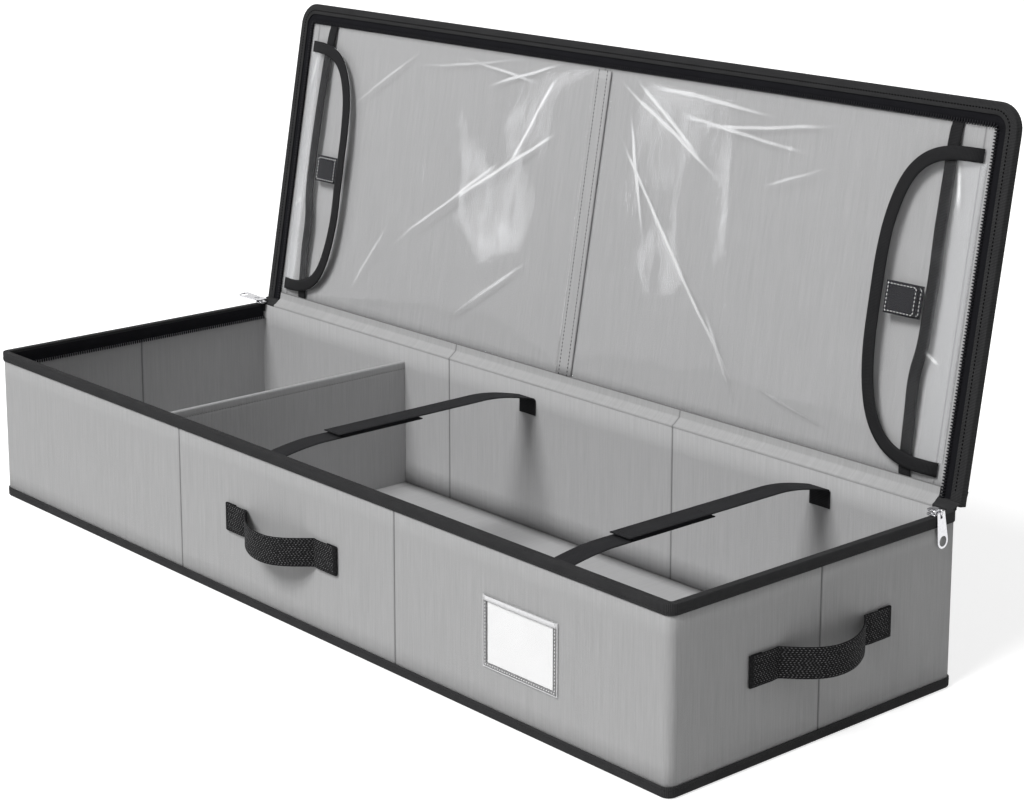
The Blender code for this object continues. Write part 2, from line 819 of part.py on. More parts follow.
# Lid pockets: film sewn along three edges, open at its outer end, bellied off the lid
field_front = -HALF_Y + FIELD_INSET
mouth_x = HALF_X - MOUTH_INSET
film_inner = CENTRE_STRIP / 2 + CLEAR
strip_top = LID_LINING_Z - CLEAR
panel(
    "pocket_centre_strip",
    (-CENTRE_STRIP / 2, field_front, strip_top - LINING),
    (CENTRE_STRIP / 2, lid_end, strip_top),
    GREY_LINING,
    lid,
)
field_rows = eased(field_front, lid_end, FILM_ROWS)


def crown(x, y):
    """How far the pocket film stands off the lining, x being counted from the middle."""
    u = min(max((mouth_x - x) / (mouth_x - film_inner), 0), 1)
    v = min(max((y - field_front) / (lid_end - field_front), 0), 1)
    lengthwise = (4 * v * (1 - v)) ** CROWN_END_POWER
    if u < CROWN_PEAK_SHARE:
        rise = math.sin(math.pi / 2 * u / CROWN_PEAK_SHARE)
        across = MOUTH_SHARE + (1 - MOUTH_SHARE) * rise
    else:
        fall = (u - CROWN_PEAK_SHARE) / (1 - CROWN_PEAK_SHARE)
        across = max(math.cos(math.pi / 2 * fall), 0) ** CROWN_END_POWER
    return POCKET_CROWN * lengthwise * across


def over_pocket(out, columns, rows, off):
    """A grid that follows the pocket film, off it by a height away from the lid."""
    return [[(out * x, y, FILM_Z - crown(x, y) - off) for x in columns] for y in rows]


film_columns = eased(mouth_x, film_inner, FILM_COLUMNS)
tape_off = FILM / 2 + CLEAR * 2 + TAPE / 2
tape_columns = spread(mouth_x - MOUTH_TAPE / 2, mouth_x + MOUTH_TAPE / 2, 2)
patch_off = FILM / 2 + CLEAR + BACKING / 2
flap_root = HALF_X - FIELD_INSET - CLEAR
patch_x = flap_root - FLAP_REACH + FLAP_PATCH_SETBACK
patch_y = HALF_Y - FLAP_PATCH_UP
patch_columns = spread(patch_x - FLAP_PATCH_WIDE / 2, patch_x + FLAP_PATCH_WIDE / 2, 2)
patch_rows = spread(patch_y - FLAP_PATCH_HIGH / 2, patch_y + FLAP_PATCH_HIGH / 2, 2)
for side, out in (("left", -1), ("right", 1)):
    film = over_pocket(out, film_columns, field_rows, 0)
    finish(sheet(f"pocket_film_{side}", film, FILM), CLEAR_SHEET, lid)
    edging = over_pocket(out, tape_columns, field_rows, tape_off)
    finish(sheet(f"mouth_tape_{side}", edging, TAPE), BLACK_BINDING, lid)
    loops = over_pocket(out, patch_columns, patch_rows, patch_off)
    finish(sheet(f"pocket_patch_{side}", loops, BACKING), HOOK_LOOP, lid)

# Flaps: a D of film sewn to the lid beside each mouth, edged in black tape, with a hook
# patch that meets the patch on the pocket
flap_back = HALF_Y - FLAP_LOW
flap_front = flap_back - FLAP_LONG
flap_mid = (flap_front + flap_back) / 2


def flap_off(x, y):
    """How far the flap stands off the lining: over the pocket, and down to its seam."""
    seam = min((flap_root - x) / (flap_root - mouth_x), 1)
    return (crown(min(x, mouth_x), y) + FLAP_LIFT) * math.sin(math.pi / 2 * max(seam, 0))


def flap_outline():
    """The D's edge from one end of the seam to the other, as (x, y, inward x, inward y)."""
    power = 2 / FLAP_SQUARE
    points = []
    for turn in spread(-math.pi / 2, math.pi / 2, FLAP_STEPS):
        reach = max(math.cos(turn), 0) ** power
        along = math.copysign(abs(math.sin(turn)) ** power, turn)
        x = flap_root - FLAP_START - (FLAP_REACH - FLAP_START) * reach
        points.append((x, flap_mid + FLAP_LONG / 2 * along))
    edge = []
    for i, (x, y) in enumerate(points):
        before = points[max(i - 1, 0)]
        after = points[min(i + 1, len(points) - 1)]
        dx, dy = after[0] - before[0], after[1] - before[1]
        size = math.hypot(dx, dy)
        edge.append((x, y, dy / size, -dx / size))
    return edge


def flap_grids():
    """Plan points of the tape's two edges, then of the rows from there to the seam."""
    edge = flap_outline()
    outer = [(x, y) for x, y, _, _ in edge]
    inner = [
        (min(x + FLAP_TAPE * nx, flap_root - FLAP_START), y + FLAP_TAPE * ny)
        for x, y, nx, ny in edge
    ]
    rows = [outer, inner]
    for share in spread(0, 1, FLAP_ROWS)[1:]:
        rows.append([(x + (flap_root - CLEAR - x) * share, y) for x, y in inner])
    return rows


def flap_sheet(out, plan_rows, off):
    return [[(out * x, y, FILM_Z - flap_off(x, y) - off) for x, y in row] for row in plan_rows]


plan_rows = flap_grids()
hook_off = -patch_off
for side, out in (("left", -1), ("right", 1)):
    seam = joint_empty(f"flap_{side}_axis", (out * flap_root, flap_mid, FILM_Z), lid)
    film = flap_sheet(out, plan_rows, 0)
    finish(sheet(f"flap_film_{side}", film, FILM), CLEAR_SHEET, seam)
    edging = flap_sheet(out, plan_rows[:2], tape_off)
    finish(sheet(f"flap_binding_{side}", edging, TAPE), BLACK_BINDING, seam)
    hooks = flap_sheet(out, [[(x, y) for x in patch_columns] for y in patch_rows], hook_off)
    finish(sheet(f"flap_patch_{side}", hooks, BACKING), HOOK_LOOP, seam)

# The lid stands open, leaning back a little
lid.rotation_euler = (-math.radians(90 + LID_LEAN), 0, 0)
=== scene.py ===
import math

import bmesh
import bpy
from mathutils import Matrix, Vector, noise


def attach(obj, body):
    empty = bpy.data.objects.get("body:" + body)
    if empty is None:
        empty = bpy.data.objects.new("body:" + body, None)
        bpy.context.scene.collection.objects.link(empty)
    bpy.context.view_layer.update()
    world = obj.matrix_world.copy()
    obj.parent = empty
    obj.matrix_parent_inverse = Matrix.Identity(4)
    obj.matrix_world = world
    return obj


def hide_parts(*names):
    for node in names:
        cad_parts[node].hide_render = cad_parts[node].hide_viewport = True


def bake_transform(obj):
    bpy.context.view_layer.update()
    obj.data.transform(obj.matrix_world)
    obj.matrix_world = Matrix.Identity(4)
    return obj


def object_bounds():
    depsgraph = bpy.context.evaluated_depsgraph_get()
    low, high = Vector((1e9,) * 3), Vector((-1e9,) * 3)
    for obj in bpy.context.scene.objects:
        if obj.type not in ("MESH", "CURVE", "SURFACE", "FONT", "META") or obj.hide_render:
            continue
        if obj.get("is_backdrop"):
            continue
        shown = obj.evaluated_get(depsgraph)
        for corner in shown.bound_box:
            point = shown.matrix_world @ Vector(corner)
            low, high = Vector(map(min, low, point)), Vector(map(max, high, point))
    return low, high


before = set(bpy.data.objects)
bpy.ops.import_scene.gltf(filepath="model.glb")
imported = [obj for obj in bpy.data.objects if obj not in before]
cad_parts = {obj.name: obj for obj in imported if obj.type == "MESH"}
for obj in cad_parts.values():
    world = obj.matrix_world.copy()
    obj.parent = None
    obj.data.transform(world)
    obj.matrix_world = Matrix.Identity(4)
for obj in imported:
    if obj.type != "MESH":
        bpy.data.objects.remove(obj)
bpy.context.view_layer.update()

# Outer cover
# One band of grey polyester cloth wrapped round the four walls and glued to the boards
# inside it. It creases where those boards are scored: at the thirds of the long walls
# and in the middle of the ends.
HALF_LONG, HALF_DEEP, RIM = 0.520, 0.178, 0.165
COVER_LOW, COVER_HIGH = 0.0013, 0.1637
CORNER, CLOTH = 0.008, 0.0008
THIRD = 0.1713
WALL_BOARDS = ["front_board", "back_board", "left_board", "right_board"]
GREY, GREY_DARK = (0.448, 0.448, 0.450), (0.372, 0.372, 0.374)


class Thread:
    """A socket of a node tree that can stand in a sum."""

    def __init__(self, tree, socket=None):
        self.tree, self.socket = tree, socket

    def node(self, kind, settings=None, inputs=None, output=0):
        made = self.tree.nodes.new(kind)
        for key, value in (settings or {}).items():
            if key == "stops":
                ramp = made.color_ramp.elements
                while len(ramp) < len(value):
                    ramp.new(0.5)
                for stop, (place, shade) in zip(ramp, value):
                    stop.position, stop.color = place, (*shade, 1.0)
            else:
                setattr(made, key, value)
        for key, value in (inputs or {}).items():
            if isinstance(value, Thread):
                self.tree.links.new(value.socket, made.inputs[key])
            else:
                made.inputs[key].default_value = value
        return Thread(self.tree, made.outputs[output]) if made.outputs else None

    def maths(self, operation, *others):
        values = dict(enumerate((self, *others)))
        return self.node("ShaderNodeMath", {"operation": operation}, values)

    def __add__(self, other):
        return self.maths("ADD", other)

    def __sub__(self, other):
        return self.maths("SUBTRACT", other)

    def __rsub__(self, other):
        return self * -1.0 + other

    def __mul__(self, other):
        return self.maths("MULTIPLY", other)

    __radd__, __rmul__ = __add__, __mul__

    def mixed(self, low, high):
        """A colour between low and high, by this thread's share."""
        colours = {0: self}
        for slot, colour in ((6, low), (7, high)):
            colours[slot] = colour if isinstance(colour, Thread) else (*colour, 1.0)
        return self.node("ShaderNodeMix", {"data_type": "RGBA"}, colours, 2)

    def within(self, low, high, bottom=0.0, top=1.0):
        """This thread's stretch from low to high, spread from bottom to top and held there."""
        return self.node(
            "ShaderNodeMapRange",
            {"interpolation_type": "SMOOTHSTEP"},
            {0: self, 1: low, 2: high, 3: bottom, 4: top},
        )

    def speckle(self, scale, detail=2.0, rough=0.5):
        """Noise over this vector, stretched by a scale for each direction."""
        place = self.node(
            "ShaderNodeVectorMath", {"operation": "MULTIPLY"}, {0: self, 1: scale}
        )
        return self.node(
            "ShaderNodeTexNoise",
            {"noise_dimensions": "3D"},
            {"Vector": place, "Scale": 1.0, "Detail": detail, "Roughness": rough},
        )


def finish_of(name, **constants):
    """A new material, with its shader's constants set: the material, a thread and the shader."""
    made = bpy.data.materials.new(name)
    made.use_nodes = True
    shader = made.node_tree.nodes["Principled BSDF"]
    for key, value in constants.items():
        shader.inputs[key.replace("_", " ")].default_value = value
    return made, Thread(made.node_tree), shader


def wire(shader, **threads):
    for key, thread in threads.items():
        shader.id_data.links.new(thread.socket, shader.inputs[key.replace("_", " ")])


def cut_of(yarn):
    """The piece's own cloth coordinates, in metres: across the streaks and along them."""
    cut = yarn.node("ShaderNodeUVMap", {"uv_map": "cut"})
    apart = cut.node("ShaderNodeSeparateXYZ", inputs={0: cut})
    return cut, apart, Thread(cut.tree, apart.socket.node.outputs[1])


def raised(height, distance, strength=1.0):
    return height.node(
        "ShaderNodeBump", inputs={"Height": height, "Distance": distance, "Strength": strength}
    )


def woven_cloth(name, light, dark):
    """Grey polyester cloth with fine slubs that run one way, darkened along its creases as painted
    shade.
    """
    made, yarn, shader = finish_of(name, Sheen_Weight=0.05, Specular_IOR_Level=0.2)
    cut, across, along = cut_of(yarn)
    slubs = cut.speckle((900.0, 22.0, 1.0), 3.0, 0.6)
    bands = cut.speckle((230.0, 7.0, 1.0))
    cloud = cut.speckle((9.0, 7.0, 1.0))
    # Painted shade: the colour darkens along the creases, read from the crease attribute.
    light_paint = cut.node("ShaderNodeAttribute", {"attribute_name": "crease"}, output=2)
    turns = 7854.0  # 2 pi for every 0.8 mm, the spacing of the threads
    weave = (across * turns).maths("SINE") * (along * turns).maths("SINE") * 0.5 + 0.5
    streak = slubs.within(0.3, 0.7) * 0.6 + bands.within(0.3, 0.7) * 0.25 + cloud * 0.15
    shade = streak * 0.84 + weave * 0.16
    crease_shaded = (light_paint * 0.75).mixed(shade.mixed(dark, light), tuple(0.22 * c for c in dark))
    bump = raised(weave * 0.35 + streak * 0.65, 0.00035)
    wire(shader, Base_Color=crease_shaded, Roughness=0.94 - streak * 0.14, Normal=bump)
    return made


grey_cloth = woven_cloth("grey_cloth", GREY, GREY_DARK)


def added(name, data):
    """A new object in the scene."""
    made = bpy.data.objects.new(name, data)
    bpy.context.scene.collection.objects.link(made)
    return made


def piece(name, bm, paint, sharp=38):
    """A mesh as an object with its paint, smooth but for the edges sharper than an angle."""
    data = bpy.data.meshes.new(name)
    bm.to_mesh(data)
    bm.free()
    data.materials.append(paint)
    for face in data.polygons:
        face.use_smooth = True
    data.set_sharp_from_angle(angle=math.radians(sharp))
    return added(name, data)


def settle(made):
    """Turns a piece's modifiers into its mesh."""
    drawn = made.evaluated_get(bpy.context.evaluated_depsgraph_get())
    data = bpy.data.meshes.new_from_object(drawn)
    made.modifiers.clear()
    made.data = data
    return made


def skin(rows, cuts, painted_light=None, closed=False):
    """Faces through rows of points, each with its place in the cut. The last argument holds painted
    light for each point: how dark the painted shade of a crease lies on cloth, and how strong the
    painted sheen is on film."""
    bm = bmesh.new()
    layer = bm.loops.layers.uv.new("cut")
    light_paint = bm.verts.layers.float.new("crease")
    grid = [[bm.verts.new(point) for point in row] for row in rows]
    for row, depths in zip(grid, painted_light or []):
        for vert, depth in zip(row, depths):
            vert[light_paint] = depth
    size = len(grid[0])
    for i in range(len(grid) - 1):
        for j in range(size if closed else size - 1):
            spots = ((i, j), (i, j + 1), (i + 1, j + 1), (i + 1, j))
            face = bm.faces.new([grid[a][b % size] for a, b in spots])
            for loop, (a, b) in zip(face.loops, spots):
                loop[layer].uv = cuts[a][b]
    return bm, grid


def sheeting(name, rows, cuts, paint, thick, side=-1, place=None, painted_light=None):
    """Cloth or film through rows of points."""
    bm, _ = skin(rows, cuts, painted_light)
    bmesh.ops.remove_doubles(bm, verts=bm.verts, dist=0.000005)
    if place:
        bm.transform(place)
    made = piece(name, bm, paint)
    wall = made.modifiers.new("thickness", "SOLIDIFY")
    wall.thickness, wall.offset, wall.use_even_offset = thick, side, True
    return settle(made)


def arc(cx, cy, radius, start, end, steps=8):
    turns = [math.radians(start + (end - start) * i / steps) for i in range(steps + 1)]
    return [(cx + radius * math.cos(a), cy + radius * math.sin(a)) for a in turns]


def spread(start, stop, steps):
    return [start + (stop - start) * i / steps for i in range(steps + 1)]


def held(share):
    """A share kept between none and all."""
    return min(max(share, 0.0), 1.0)


def hill(off, wide):
    """A smooth rise by the distance from its middle, and how wide it is."""
    return math.exp(-((off / wide) ** 2))


def crease_columns(end, creases, step=0.03):
    """Places along a wall, closer together at its creases, and how deep each lies."""
    places = set(spread(-end, end, round(2 * end / step)))
    beside = (0.0004, 0.0008, 0.0012, 0.002, 0.005)
    for crease in creases:
        places = {p for p in places if abs(p - crease) > 0.008}
        places |= {crease} | {crease + d for d in beside} | {crease - d for d in beside}
    deep = lambda p: sum(hill(p - c, 0.0010) for c in creases)
    return [(p, deep(p)) for p in sorted(places)]


def round_the_box(inset, radius, groove):
    """Plan points right round the box, drawn in at the creases, and how deep each lies."""
    x, y, r = HALF_LONG - inset, HALF_DEEP - inset, radius
    long_wall = crease_columns(x - r, (-THIRD, THIRD))
    end_wall = crease_columns(y - r, (0.0,))
    flat = lambda points: [(*spot, 0.0) for spot in points[1:-1]]
    plan = [(a, -y + groove * d, d) for a, d in long_wall]
    plan += flat(arc(x - r, -y + r, r, -90, 0))
    plan += [(x - groove * d, a, d) for a, d in end_wall]
    plan += flat(arc(x - r, y - r, r, 0, 90))
    plan += [(-a, y - groove * d, d) for a, d in long_wall]
    plan += flat(arc(-x + r, y - r, r, 90, 180))
    plan += [(-x + groove * d, -a, d) for a, d in end_wall]
    plan += flat(arc(-x + r, -y + r, r, 180, 270))
    return plan + plan[:1]


def along_route(route):
    runs = [0.0]
    for a, b in zip(route, route[1:]):
        runs.append(runs[-1] + math.dist(a, b))
    return runs


def wall_cloth(name, plan, heights, paint, thick, side):
    runs = along_route([(x, y) for x, y, _ in plan])
    rows = [[(x, y, z) for x, y, _ in plan] for z in heights]
    cuts = [[(run, z) for run in runs] for z in heights]
    # The crease depths also darken the cloth there: painted shade along each crease.
    painted_light = [[d for _, _, d in plan]] * len(rows)
    return sheeting(name, rows, cuts, paint, thick, side, painted_light=painted_light)


def dress(made, body, slot, *nodes):
    """Puts a piece on its body, in place of the plain nodes it covers. The slot is not used."""
    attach(made, body)
    if nodes:
        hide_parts(*nodes)


plan, heights = round_the_box(0.0, CORNER, 0.0007), spread(COVER_LOW, COVER_HIGH, 6)
cover = wall_cloth("outer_cover_cloth", plan, heights, grey_cloth, CLOTH, -1)
dress(cover, "box", "grey_cloth", "outer_cover")

# Boards
# Plain brown fibreboard, 2.5 mm thick in the walls and 3 mm in the floor and the lid.
# Cloth covers each of them on all sides.
fibreboard, pulp, shader = finish_of("fibreboard", Specular_IOR_Level=0.2)
grain = pulp.node("ShaderNodeTexCoord", output=3)
fibres = grain.speckle((900.0, 140.0, 900.0), 4.0, 0.7)
flecks = grain.speckle((160.0,) * 3)
wire(
    shader,
    Base_Color=(fibres * 0.7 + flecks * 0.3).mixed((0.20, 0.145, 0.09), (0.46, 0.37, 0.26)),
    Roughness=0.98 - fibres * 0.16,
    Normal=raised(fibres, 0.0003),
)
LID_BOARDS = ["lid_board_left", "lid_board_right"]
for board in WALL_BOARDS + ["floor_board", "divider_board"] + LID_BOARDS:
    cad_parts[board].material_slots[0].material = fibreboard

# Bottom cover
# The same cloth under the floor board. Its edge is caught under the bottom binding.
under_x, under_y = HALF_LONG - 0.0073, HALF_DEEP - 0.0073


def plan_of(xs, ys):
    return [[(x, y) for x in xs] for y in ys]


def flat_cloth(name, xs, ys, z, paint, thick, side, lift=None, place=None):
    """A level sheet over the plan places, lifted here and there by a rule of x and y."""
    lift = lift or (lambda x, y: 0.0)
    rows = [[(x, y, z + lift(x, y)) for x in xs] for y in ys]
    return sheeting(name, rows, plan_of(xs, ys), paint, thick, side, place)


xs, ys = spread(-under_x, under_x, 12), spread(-under_y, under_y, 6)
bottom = flat_cloth("bottom_cover_cloth", xs, ys, 0.0, grey_cloth, 0.001, 1)
dress(bottom, "box", "grey_cloth", "bottom_cover")

# Lining
# A thinner cloth inside, painted paler than the cover to make up for the shade inside the box.
# One band goes round the walls, with the same creases as the cover, and one sheet lies on the floor
# board.
WALL, FLOOR = 0.0049, 0.0054
# The lining's colours are painted lighter than the cover's, as light that the inside of the box
# lacks.
LINING, LINING_DARK = (0.478, 0.478, 0.482), (0.405, 0.405, 0.409)
grey_lining = woven_cloth("grey_lining", LINING, LINING_DARK)
plan, heights = round_the_box(WALL, 0.0031, -0.0006), spread(FLOOR + 0.0003, COVER_HIGH, 6)
wall_lining = wall_cloth("wall_lining_cloth", plan, heights, grey_lining, CLOTH, 1)
dress(wall_lining, "box", "grey_lining", "wall_lining")

floor_x, floor_y = HALF_LONG - 0.0043, HALF_DEEP - 0.0043


def floor_waves(x, y):
    """The floor cloth lies a little loose between its folds at the thirds."""
    room = (1 - (x / floor_x) ** 8) * (1 - (y / floor_y) ** 8)
    fold = sum(hill(x - c, 0.0016) for c in (-THIRD, THIRD))
    return room * (0.0004 * (noise.noise(Vector((x * 9, y * 14, 2.0))) + 0.5) + 0.0004 * fold)


xs = [x for x, _ in crease_columns(floor_x, (-THIRD, THIRD), 0.02)]
ys = spread(-floor_y, floor_y, 20)
floor_lining = flat_cloth("floor_lining_cloth", xs, ys, FLOOR, grey_lining, CLOTH, -1, floor_waves)
dress(floor_lining, "box", "grey_lining", "floor_lining")

# Rim binding
# Black grosgrain tape folded over the rim at the front and both ends, with a leg down
# each side, and sewn through all the layers near its lower edge.
LEG, TAPE, CLEAR = 0.010, 0.0010, 0.0003


def tape_finish(name, light, dark, pitch, rough=0.78):
    """Tape ribbed across its length, duller and fluffier here and there."""
    made, yarn, shader = finish_of(name, Specular_IOR_Level=0.1)
    cut, along, _ = cut_of(yarn)
    ribs = (along * (2 * math.pi / pitch)).maths("SINE") * 0.5 + 0.5
    fluff = cut.speckle((900.0, 900.0, 1.0), 3.0, 0.6)
    wear = cut.speckle((35.0, 120.0, 1.0), 3.0, 0.6)
    shade = ribs * 0.35 + fluff * 0.35 + wear * 0.30
    wire(
        shader,
        Base_Color=shade.within(0.25, 0.75).mixed(dark, light),
        Roughness=rough + 0.14 * fluff - 0.06 * wear,
        Normal=raised(ribs * 0.6 + fluff * 0.4, 0.00025),
    )
    return made


black_binding = tape_finish("black_binding", (0.043, 0.043, 0.044), (0.016, 0.016, 0.017), 0.0013)


def eased(outline, radius, steps=3):
    """A closed outline with its corners rounded."""
    made = []
    for i, spot in enumerate(outline):
        a, b, c = Vector(outline[i - 1]), Vector(spot), Vector(outline[(i + 1) % len(outline)])
        back, on = a - b, c - b
        start = b + back.normalized() * min(radius, back.length * 0.45)
        end = b + on.normalized() * min(radius, on.length * 0.45)
        for t in spread(0, 1, steps):
            made.append(tuple(start * (1 - t) ** 2 + b * 2 * t * (1 - t) + end * t * t))
    return made


def loft(name, rings, runs, hem, paint, ring=False, place=None, shade_and_sheen=None, sharp=38):
    """A skin from outline to outline, closed at both ends unless it comes round in a ring.
    runs and hem give the place in the cut, along it and round each outline."""
    bm, grid = skin(rings, [[(run, edge) for edge in hem] for run in runs], shade_and_sheen, True)
    if not ring:
        bm.faces.new(grid[0])
        bm.faces.new(grid[-1][::-1])
    bmesh.ops.remove_doubles(bm, verts=bm.verts, dist=0.000002)
    bmesh.ops.recalc_face_normals(bm, faces=bm.faces)
    if place:
        bm.transform(place)
    return piece(name, bm, paint, sharp)


def swept(name, route, outline, paint, place=None, ring=False):
    """A closed outline of (out, up) points carried along a plan route, out being to the
    right of travel."""
    route = [Vector(spot) for spot in route]
    count = len(route)
    sides = []
    for i, here in enumerate(route):
        before = here - route[i - 1] if i or ring else route[1] - route[0]
        after = route[(i + 1) % count] - here if i < count - 1 or ring else before
        left, right = before.normalized(), after.normalized()
        lean = (Vector((left.y, -left.x)) + Vector((right.y, -right.x))).normalized()
        sides.append(lean / max(lean.dot(Vector((right.y, -right.x))), 0.3))
    if ring:
        route, sides = route + route[:1], sides + sides[:1]
    rings = []
    for here, side in zip(route, sides):
        rings.append([(*(here + side * out), up) for out, up in outline])
    hem = along_route(list(outline) + [outline[0]])
    return loft(name, rings, along_route(route), hem, paint, ring, place)


def finer(route, step=0.02):
    """A route with more points on its long straights."""
    made = [route[0]]
    for a, b in zip(route, route[1:]):
        parts = max(1, round(math.dist(a, b) / step))
        made += [tuple(Vector(a).lerp(Vector(b), i / parts)) for i in range(1, parts + 1)]
    return made


def three_sides(inset, radius, back_y):
    """Down the left end, along the front and up the right end."""
    x, y, r = HALF_LONG - inset, HALF_DEEP - inset, radius
    corners = arc(-x + r, -y + r, r, 180, 270) + arc(x - r, -y + r, r, 270, 360)
    return [(-x, back_y)] + corners + [(x, back_y)]


RIM_END, RIM_IN, RIM_UNDER = 0.170, -0.0062, RIM - 0.0011
face, leg_end = CLEAR + TAPE, RIM - LEG
rim_outline = [(face, leg_end), (face, RIM), (RIM_IN, RIM), (RIM_IN, leg_end)]
rim_outline += [(RIM_IN + TAPE, leg_end), (RIM_IN + TAPE, RIM_UNDER)]
rim_outline += [(CLEAR, RIM_UNDER), (CLEAR, leg_end)]
x, y, r = HALF_LONG - CORNER, HALF_DEEP - CORNER, CORNER
rim_route = arc(-x, y, r, 110, 180) + three_sides(0, r, RIM_END)[1:-1] + arc(x, y, r, 0, 70)
rim_binding = swept("rim_binding_tape", finer(rim_route), eased(rim_outline, 0.001), black_binding)
dress(rim_binding, "box", "black_binding", "top_binding")

# Sewing thread
# A lockstitch shows as a row of short, slightly sunken beads of thread. The same tree
# sets the coils of the zip further on: one small rounded grain at each step of a line.
STITCH, BEAD = 0.0034, (0.0024, 0.0006, 0.0006)
row_of_grains = bpy.data.node_groups.new("row_of_grains", "GeometryNodeTree")
kinds = {"Line": "Geometry", "Pitch": "Float", "Grain": "Vector", "Up": "Vector"}
kinds["Finish"] = "Material"
for label, kind in kinds.items():
    row_of_grains.interface.new_socket(label, in_out="INPUT", socket_type=f"NodeSocket{kind}")
row_of_grains.interface.new_socket("Row", in_out="OUTPUT", socket_type="NodeSocketGeometry")
given = row_of_grains.nodes.new("NodeGroupInput")
asked = {out.name: Thread(row_of_grains, out) for out in given.outputs if out.name}
start = asked["Line"]
line = start.node("GeometryNodeMeshToCurve", inputs={0: start})
steps = line.node(
    "GeometryNodeResampleCurve", {"mode": "LENGTH"}, {"Curve": line, "Length": asked["Pitch"]}
)
heading = line.node("GeometryNodeInputTangent")
turned = line.node("FunctionNodeAlignRotationToVector", {"axis": "X"}, {"Vector": heading})
turned = line.node(
    "FunctionNodeAlignRotationToVector",
    {"axis": "Z", "pivot_axis": "X"},
    {"Rotation": turned, "Vector": asked["Up"]},
)
grain = line.node("GeometryNodeMeshUVSphere", inputs={"Segments": 6, "Rings": 4, "Radius": 0.5})
set_out = line.node(
    "GeometryNodeInstanceOnPoints",
    inputs={"Points": steps, "Instance": grain, "Rotation": turned, "Scale": asked["Grain"]},
)
real = line.node("GeometryNodeRealizeInstances", inputs={0: set_out})
painted = line.node(
    "GeometryNodeSetMaterial", inputs={"Geometry": real, "Material": asked["Finish"]}
)
painted.node("NodeGroupOutput", inputs={"Row": painted})


def grains(name, lines, body, paint, pitch=STITCH, grain=BEAD, up=(0, 0, 1)):
    """Rows of small rounded grains along lines of points, as one piece on a body."""
    data = bpy.data.meshes.new(name)
    points, edges = [], []
    for run in lines:
        edges += [(len(points) + i, len(points) + i + 1) for i in range(len(run) - 1)]
        points += [tuple(spot) for spot in run]
    data.from_pydata(points, edges, [])
    made = added(name, data)
    step = made.modifiers.new("row", "NODES")
    step.node_group = row_of_grains
    wanted = {"Pitch": pitch, "Grain": grain, "Up": up, "Finish": paint}
    for socket in row_of_grains.interface.items_tree:
        if socket.name in wanted:
            step[socket.identifier] = wanted[socket.name]
    settle(made)
    for face in made.data.polygons:
        face.use_smooth = True
    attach(made, body)
    return made


def mottled(name, size, dark, light, rough, gloss, bump=None, detail=2.0):
    """A solid stuff with one fine mottle in its colour and in its roughness."""
    made, yarn, shader = finish_of(name, Specular_IOR_Level=gloss)
    mottle = yarn.node("ShaderNodeTexCoord", output=3).speckle((size,) * 3, detail)
    smooth, more = rough
    wire(shader, Base_Color=mottle.mixed(dark, light), Roughness=smooth + more * mottle)
    if bump:
        wire(shader, Normal=raised(mottle, bump))
    return made


def thread_finish(name, colour, dark, gloss=0.25):
    return mottled(name, 2600.0, dark, colour, (0.6, 0.0), gloss, 0.0001, 1.0)


black_thread = thread_finish("black_thread", (0.016, 0.016, 0.017), (0.004, 0.004, 0.004))
grey_thread = thread_finish("grey_thread", (0.30, 0.30, 0.305), (0.12, 0.12, 0.125))
white_thread = thread_finish("white_thread", (0.86, 0.86, 0.86), (0.55, 0.55, 0.56))


def level_line(route, z):
    return [(x, y, z) for x, y in route]


outside = level_line(three_sides(-0.0014, 0.0094, RIM_END), RIM - 0.0072)
inside = level_line(three_sides(0.0063, 0.0017, RIM_END), RIM - 0.0076)
grains("rim_binding_stitches", [outside, inside], "box", black_thread)

# Bottom binding
# The same tape folded round the bottom edge of all four walls, half up the wall and half
# under the floor.
base_outline = [(face, LEG), (CLEAR, LEG), (CLEAR, 0.0012), (-0.007, TAPE), (-0.007, 0.0)]
base_outline = eased(base_outline + arc(-0.0011, 0.0024, 0.0024, -90, -8, 4), 0.0004)


def round_corners(grow):
    """Plan points round all four corners and back, as far outside the cover as grow."""
    x, y, r = HALF_LONG - CORNER, HALF_DEEP - CORNER, CORNER + grow
    plan = arc(x, -y, r, -90, 0) + arc(x, y, r, 0, 90)
    plan += arc(-x, y, r, 90, 180) + arc(-x, -y, r, 180, 270)
    return plan + plan[:1]


base_route = finer(round_corners(0.0))[:-1]
base_binding = swept("bottom_binding_tape", base_route, base_outline, black_binding, ring=True)
dress(base_binding, "box", "black_binding", "bottom_binding")
base_seam = level_line(round_corners(0.0014), 0.0072)
grains("bottom_binding_stitches", [base_seam], "box", black_thread)

# Hinge fold
# The grey cloth runs over the back rim and on round the lower edge of the lid, so the
# lid swings on cloth alone. It is one strip, and it bends where the lid turns. At both
# ends the black tape is turned over it, so that it closes the corner.
HINGE = Vector((0.0, 0.178, 0.1685))
lid_open = (
    Matrix.Translation(HINGE)
    @ Matrix.Rotation(math.radians(-100), 4, "X")
    @ Matrix.Translation(-HINGE)
)


def on_lid(x, s, h):
    """A point on the open lid: s up from the hinge, h back from the face over the box."""
    return lid_open @ Vector((x, HINGE.y - s, HINGE.z + h))


def fold_outline(lip):
    """The strip's cross-section as (y, z) points, round its outside and back inside, where
    its lip stands up the lid."""
    outline = [(0.1730, 0.1628), (0.1733, 0.1628), (0.1733, 0.1640), (0.1780, 0.1640)]
    outline += [(0.1780, 0.1682)]
    up_the_lid = [(0.0, 0.0006), (0.0, 0.0122), (0.012, 0.0122), (0.012, 0.0113)]
    up_the_lid += [(0.001, 0.0113), (0.001, 0.0048), (lip, 0.0048), (lip, 0.0039)]
    up_the_lid += [(lip * 0.88, 0.0039), (lip * 0.33, 0.0039)]
    outline += [tuple(on_lid(0, s, h))[1:] for s, h in up_the_lid]
    outline += [(0.1808, 0.1703), (0.1787, 0.1688), (0.1761, 0.1666), (0.1730, 0.1652)]
    return eased(outline, 0.0007, 2)


LIP_END = 0.4955


